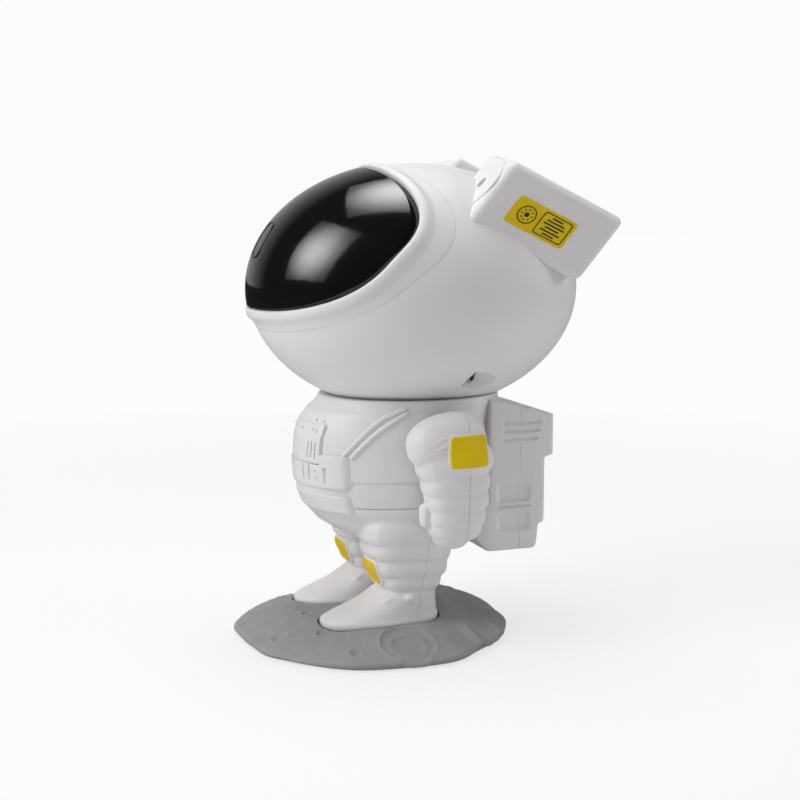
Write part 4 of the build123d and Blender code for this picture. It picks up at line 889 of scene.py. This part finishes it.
rockMesh = bmesh.new()
turns = [360 * k / rock["spokes"] - 180 for k in range(rock["spokes"])]
reaches = [rockReach(turn) for turn in turns]
loops = []
outerCount = int((min(reaches) - rock["nose"][0][0] - rock["firstRing"]) / rock["ringStep"])
innerShares = [(k + 1) / (rock["innerRings"] + 1) * rock["firstRing"] for k in range(rock["innerRings"])]
for step in range(-rock["innerRings"], outerCount + 1):
    loop = []
    for turn, reach in zip(turns, reaches):
        if step < 0:
            r = innerShares[step]
        else:
            r = rock["firstRing"] + (reach - rock["nose"][0][0] - rock["firstRing"]) * step / outerCount
        x, y = r * cos(radians(turn)), r * sin(radians(turn))
        loop.append(rockMesh.verts.new((x, y, rockHeight(x, y, r / reach))))
    loops.append(loop)
top = loops[-1]
for inset, drop in rock["nose"][1:]:
    loop = []
    for turn, reach, edge in zip(turns, reaches, top):
        r = reach - inset
        z = max(edge.co.z - drop, rock["foot"] + 0.05)
        loop.append(rockMesh.verts.new((r * cos(radians(turn)), r * sin(radians(turn)), z)))
    loops.append(loop)
for radius, z in ((None, rock["foot"]), (rock["plateSeat"][0], rock["foot"]), rock["plateSeat"],
                  (rock["cavity"][0], rock["plateSeat"][1]), rock["cavity"]):
    radii = [radius or reach - rock["footInset"] for reach in reaches]
    loops.append([rockMesh.verts.new((r * cos(radians(turn)), r * sin(radians(turn)), z))
                  for turn, r in zip(turns, radii)])
capped(rockMesh, loops)
moonRockBase = finished("moonRockBase", rockMesh, "moon_grey", "stand", "moon_base")

centreY, halfX, halfY, levels = rock["recess"]
recess = bmesh.new()
for side in (-1, 1):
    stacked(recess, [((side * suit["legX"], centreY, z), halfX, halfY, suit["bootSquareness"], 72)
                     for z in levels])
outward(recess)
cutBy(moonRockBase, recess)
creased(moonRockBase, 50)
print("moon rock:", len(moonRockBase.data.polygons))

# helmet rim round the visor

helmet = {
    "centre": Vector((0, 21.7, 158.5)), "radii": Vector((62.0, 76.0, 55.6)),
    "visorTilt": 18.6, "visorOffset": 5.7, "visorHalf": (54.6, 37.0), "visorSquareness": 2.34,
    "seat": 3.75, "segments": 160,
    # distance out from the visor and height over the helmet, along the rim's crown
    "crown": [(0.02, -0.6), (0.02, 0.9), (0.12, 1.55), (0.45, 1.95), (1.1, 2.2), (2.0, 2.3), (3.0, 2.22),
              (3.9, 1.95), (4.7, 1.5), (5.4, 1.02), (6.1, 0.66), (6.9, 0.42), (7.8, 0.3)],
    "lipRise": 0.2, "lipEnd": 9.6, "beyondSeat": 1.8,
}


def helmetPoint(u, v):
    tilt = radians(helmet["visorTilt"])
    forward = Vector((0, -cos(tilt), sin(tilt)))
    up = Vector((0, sin(tilt), cos(tilt)))
    start = helmet["centre"] + up * helmet["visorOffset"] + Vector((u, 0, 0)) + up * v
    o = Vector([c / r for c, r in zip(start - helmet["centre"], helmet["radii"])])
    d = Vector([c / r for c, r in zip(forward, helmet["radii"])])
    a, b, c = d.dot(d), 2 * o.dot(d), o.dot(o) - 1
    return start + forward * (-b + sqrt(b * b - 4 * a * c)) / (2 * a)


def visorOutline(turn, grow=0.0):
    halfU, halfV = helmet["visorHalf"]
    power = helmet["visorSquareness"]
    reach = (abs(cos(turn)) ** power + abs(sin(turn)) ** power) ** (1 / power)
    return (halfU + grow) * cos(turn) / reach, (halfV + grow) * sin(turn) / reach


def overHelmet(point, height):
    spoke = point - helmet["centre"]
    size = sqrt(sum((c / r) ** 2 for c, r in zip(spoke, helmet["radii"])))
    foot = spoke / size
    normal = Vector([c / (r * r) for c, r in zip(foot, helmet["radii"])]).normalized()
    return helmet["centre"] + foot + normal * height


rim = bmesh.new()
loops = []
for k in range(helmet["segments"]):
    turn = 2 * pi * k / helmet["segments"]
    inner = helmetPoint(*visorOutline(turn))
    outer = helmetPoint(*visorOutline(turn, helmet["seat"]))
    ahead = helmetPoint(*visorOutline(turn + 0.01))
    behind = helmetPoint(*visorOutline(turn - 0.01))
    tangent = (ahead - behind).normalized()
    away = (outer - inner) - tangent * (outer - inner).dot(tangent)
    seat = (outer - inner).length
    away.normalize()
    end = max(helmet["lipEnd"], seat + helmet["beyondSeat"])
    profile = helmet["crown"] + [
        (end - 0.5, helmet["lipRise"]), (end - 0.15, helmet["lipRise"] * 0.7), (end, 0.0), (end, -0.5),
        (seat - 0.6, -0.5), (seat - 0.8, -2.0), (0.6, -2.4)]
    loops.append([rim.verts.new(overHelmet(inner + away * distance, height)) for distance, height in profile])
loopsJoined(rim, loops, closed=True)
outward(rim)
creased(finished("helmetRim", rim, "white_shell", "head", "visor_bezel"), 60)
print("rim laid")

# plate on the lamp box's outer face

plate = {
    "centre": (52.0, 60.2, 188.4),
    "along": Vector((0, 0.902, -0.432)), "across": Vector((0, 0.647, 0.762)),
    "half": (15.0, 6.9), "corner": 1.6, "thickness": 0.28, "markThickness": 0.42, "bedding": -0.3,
    "dialCentre": -7.6, "dialRadius": 4.3, "hubRadius": 1.1, "lineWidth": 0.42,
    "dots": (8, 2.5, 0.36),  # how many, how far from the dial's centre, their radius
    "frameFrom": -1.2, "frameTo": 13.4, "frameHalf": 5.6, "frameCorner": 1.2,
    # height and length of the bars
    "bars": [(3.9, 5.4), (2.3, 9.0), (0.7, 10.6), (-0.9, 7.0), (-2.5, 10.0), (-4.1, 6.0)],
    "barHalf": 0.32, "barCorner": 0.2,
}


def plateShape(bm, outline, thickness, holes=()):
    # a thin solid over the plate's face from an outline of (s, t) points
    def raised(points, depth):
        return [bm.verts.new(Vector(plate["centre"]) + plate["along"] * s + plate["across"] * t
                             + Vector((depth, 0, 0))) for s, t in points]

    low, high = raised(outline, plate["bedding"]), raised(outline, thickness)
    if holes:
        lowHole, highHole = raised(holes, plate["bedding"]), raised(holes, thickness)
        loopsJoined(bm, [low, high, highHole, lowHole], closed=True)
    else:
        loopsJoined(bm, [low, high])
        bm.faces.new(low)
        bm.faces.new(high)


def roundedOutline(s1, s2, t1, t2, corner, steps=6):
    return (arc(s2 - corner, t2 - corner, corner, 0, steps) + arc(s1 + corner, t2 - corner, corner, 90, steps)
            + arc(s1 + corner, t1 + corner, corner, 180, steps)
            + arc(s2 - corner, t1 + corner, corner, 270, steps))


def circleOutline(s, t, radius, steps=40):
    turns = [2 * pi * k / steps for k in range(steps)]
    return [(s + radius * cos(turn), t + radius * sin(turn)) for turn in turns]


halfS, halfT = plate["half"]
backing = bmesh.new()
plateShape(backing, roundedOutline(-halfS, halfS, -halfT, halfT, plate["corner"]), plate["thickness"])
outward(backing)
creased(finished("boxPlate", backing, "yellow", "head"), 40)
marks = bmesh.new()
line, level, middle = plate["lineWidth"], plate["markThickness"], plate["dialCentre"]
plateShape(marks, circleOutline(middle, 0, plate["dialRadius"]), level,
           circleOutline(middle, 0, plate["dialRadius"] - line))
plateShape(marks, circleOutline(middle, 0, plate["hubRadius"]), level)
count, distance, radius = plate["dots"]
for k in range(count):
    turn = 2 * pi * k / count
    plateShape(marks, circleOutline(middle + distance * cos(turn), distance * sin(turn), radius, 12), level)
s1, s2, half, corner = plate["frameFrom"], plate["frameTo"], plate["frameHalf"], plate["frameCorner"]
plateShape(marks, roundedOutline(s1, s2, -half, half, corner), level,
           roundedOutline(s1 + line, s2 - line, -half + line, half - line, corner - line))
centre = (s1 + s2) / 2
for height, length in plate["bars"]:
    plateShape(marks, roundedOutline(centre - length / 2, centre + length / 2, height - plate["barHalf"],
                                     height + plate["barHalf"], plate["barCorner"], 2), level)
outward(marks)
creased(finished("boxPlateMarks", marks, "frame_black", "head"), 40)
print("plate laid")

# backpack

pack = {
    "halfWidth": 30.0, "frontY": 40.5, "frontRound": 9.0, "rearRound": 2.6,
    # height and the rear face's y there
    "rear": [(39.8, 70.0), (41.2, 71.2), (50.8, 72.2), (51.6, 74.6), (53.0, 75.0), (81.7, 75.0),
             (82.7, 79.1), (112.0, 79.1)],
    "roofPlace": (0, 78.6, 101.4), "roofNormal": (0, 0.248, 0.969),
    "voxel": 0.45, "softening": 8,
    "waist": (47.4, 62.0),  # where the upper front face stands, and from what height
    "chinPlace": (0, 40.5, 47.6), "chinNormal": (0, 0.80, 0.60), "partingY": 62.0, "gap": 0.06,
    # centre y and z, length, height, depth of the sunk vents and panels
    "vents": [(62.7, 98.3, 18.5, 1.6, 1.2), (62.4, 94.6, 17.6, 1.6, 1.2), (61.8, 90.8, 17.0, 1.6, 1.2)],
    "panels": [(59.0, 66.8, 16.4, 9.6, 1.3), (59.0, 53.2, 16.0, 9.0, 1.3), (59.0, 60.0, 16.2, 1.2, 1.3)],
}


def packOutline(z, rearY):
    front, rear, frontY = pack["frontRound"], pack["rearRound"], pack["frontY"]
    points = []
    for side, start, corner, centreY in ((1, -90, front, frontY + front), (1, 0, rear, rearY - rear),
                                         (-1, 90, rear, rearY - rear), (-1, 180, front, frontY + front)):
        points += arc(side * (pack["halfWidth"] - corner), centreY, corner, start, 10)
    return [(x, y, z) for x, y in points]


packForm = bmesh.new()
capped(packForm, [[packForm.verts.new(point) for point in packOutline(*level)] for level in pack["rear"]])
roofed = halfOf(packForm, pack["roofPlace"], [-c for c in pack["roofNormal"]], 0)
packForm.free()
chamfered = halfOf(roofed, pack["chinPlace"], pack["chinNormal"], 0)
roofed.free()
holder = objectOf("packForm", chamfered)
waistY, waistZ = pack["waist"]
above = bmesh.new()
softBlock(above, (0, waistY - 15, waistZ + 30), (80, 30, 60), 1.0, segments=3)
cutBy(holder, above)
for y, z, length, height, depth in pack["vents"] + pack["panels"]:
    sunk = bmesh.new()
    for side in (-1, 1):
        softBlock(sunk, (side * pack["halfWidth"], y, z), (2 * depth, length, height), min(height * 0.3, 1.5))
    cutBy(holder, sunk)
raw = formOf(holder)
bmesh.ops.scale(raw, vec=(1000, 1000, 1000), verts=raw.verts)
softPack = settled(raw, pack["voxel"], pack["softening"])
for normalY, label in ((-1, "shell"), (1, "cover")):
    piece = finished("backpack" + label.capitalize(),
                     halfOf(softPack, (0, pack["partingY"], 0), (0, normalY, 0), pack["gap"]),
                     "white_shell", "stand", "backpack_" + label)
    creased(piece, 50)
print("backpack:", len(softPack.faces))
softPack.free()

# lamp boxes, a little taller towards the middle of the helmet, and their discs

lamp = {
    "outerX": 52.0, "innerX": 18.5, "innerShift": (3.4, 4.0), "edge": 3.6,
    "outline": [(47.5, 214.6), (101.6, 188.7), (78.8, 162.1), (25.5, 188.7)],
    "discFromEdge": 15.0, "discAcross": 0.46, "discRadius": 13.5, "discRise": 0.6, "discEdge": 0.35,
    "holeRadius": 2.6, "holeEdge": 0.25, "holeDepth": 0.5,
}


def discLoop(bm, centre, across, down, out, radius, rise):
    turns = [2 * pi * k / 72 for k in range(72)]
    return [bm.verts.new(centre + across * radius * cos(turn) + down * radius * sin(turn) + out * rise)
            for turn in turns]


for side, sideName in bothSides:
    shiftY, shiftZ = lamp["innerShift"]
    box = bmesh.new()
    outer = [box.verts.new((side * lamp["outerX"], y, z)) for y, z in lamp["outline"]]
    inner = [box.verts.new((side * lamp["innerX"], y + shiftY, z + shiftZ)) for y, z in lamp["outline"]]
    capped(box, [outer, inner])
    top, bottom, innerTop = outer[0].co.copy(), outer[3].co.copy(), inner[0].co.copy()
    bmesh.ops.bevel(box, geom=box.edges[:], offset=lamp["edge"], offset_type="OFFSET", affect="EDGES",
                    segments=5, profile=0.5, material=-1)
    creased(finished(sideName + "LampBox", box, "white_shell", "head", sideName + "_lamp_box"), 40)
    down, across = (bottom - top).normalized(), (innerTop - top).normalized()
    out = down.cross(across).normalized()
    if out.z < 0:
        out = -out
    across = out.cross(down)
    centre = top + down * lamp["discFromEdge"] + (innerTop - top) * lamp["discAcross"]
    radius, rise, hole = lamp["discRadius"], lamp["discRise"], lamp["holeRadius"]
    disc = bmesh.new()
    profile = [(radius, -1.5), (radius, rise - lamp["discEdge"]), (radius - lamp["discEdge"], rise),
               (hole + lamp["holeEdge"], rise), (hole, rise - lamp["holeEdge"]), (hole, -1.5)]
    loopsJoined(disc, [discLoop(disc, centre, across, down, out, r, h) for r, h in profile], closed=True)
    outward(disc)
    creased(finished(sideName + "LampDisc", disc, "white_shell", "head", sideName + "_lamp_disc"), 40)
    dark = bmesh.new()
    capped(dark, [discLoop(dark, centre, across, down, out, hole + 0.3, h)
                  for h in (-1.2, rise - lamp["holeDepth"])])
    creased(finished(sideName + "LampLens", dark, "moon_grey", "head"), 40)
print("lamp boxes")

# frame round the small window in the visor

windowRim = {
    "centre": (0, -47.9, 180.0), "out": (0, -0.757, 0.653), "half": (5.0, 8.6), "thickness": 0.42,
    "squareness": 4, "corners": 80,
}
out = Vector(windowRim["out"]).normalized()
across = Vector((1, 0, 0))
up = out.cross(across)
places = []
for k in range(windowRim["corners"]):
    turn = 2 * pi * k / windowRim["corners"]
    c, s, power = cos(turn), sin(turn), windowRim["squareness"]
    reach = (abs(c) ** power + abs(s) ** power) ** (1 / power)
    start = (Vector(windowRim["centre"]) + across * c / reach * windowRim["half"][0]
             + up * s / reach * windowRim["half"][1] + out * 30)
    places.append(nodes["visor"].ray_cast(start / 1000, -out)[1] * 1000)
rimMesh = swept("windowRim", places, "POLY", windowRim["thickness"], 3, closed=True)
finished("windowRim", rimMesh, "visor_black", "head")
print("window rim")
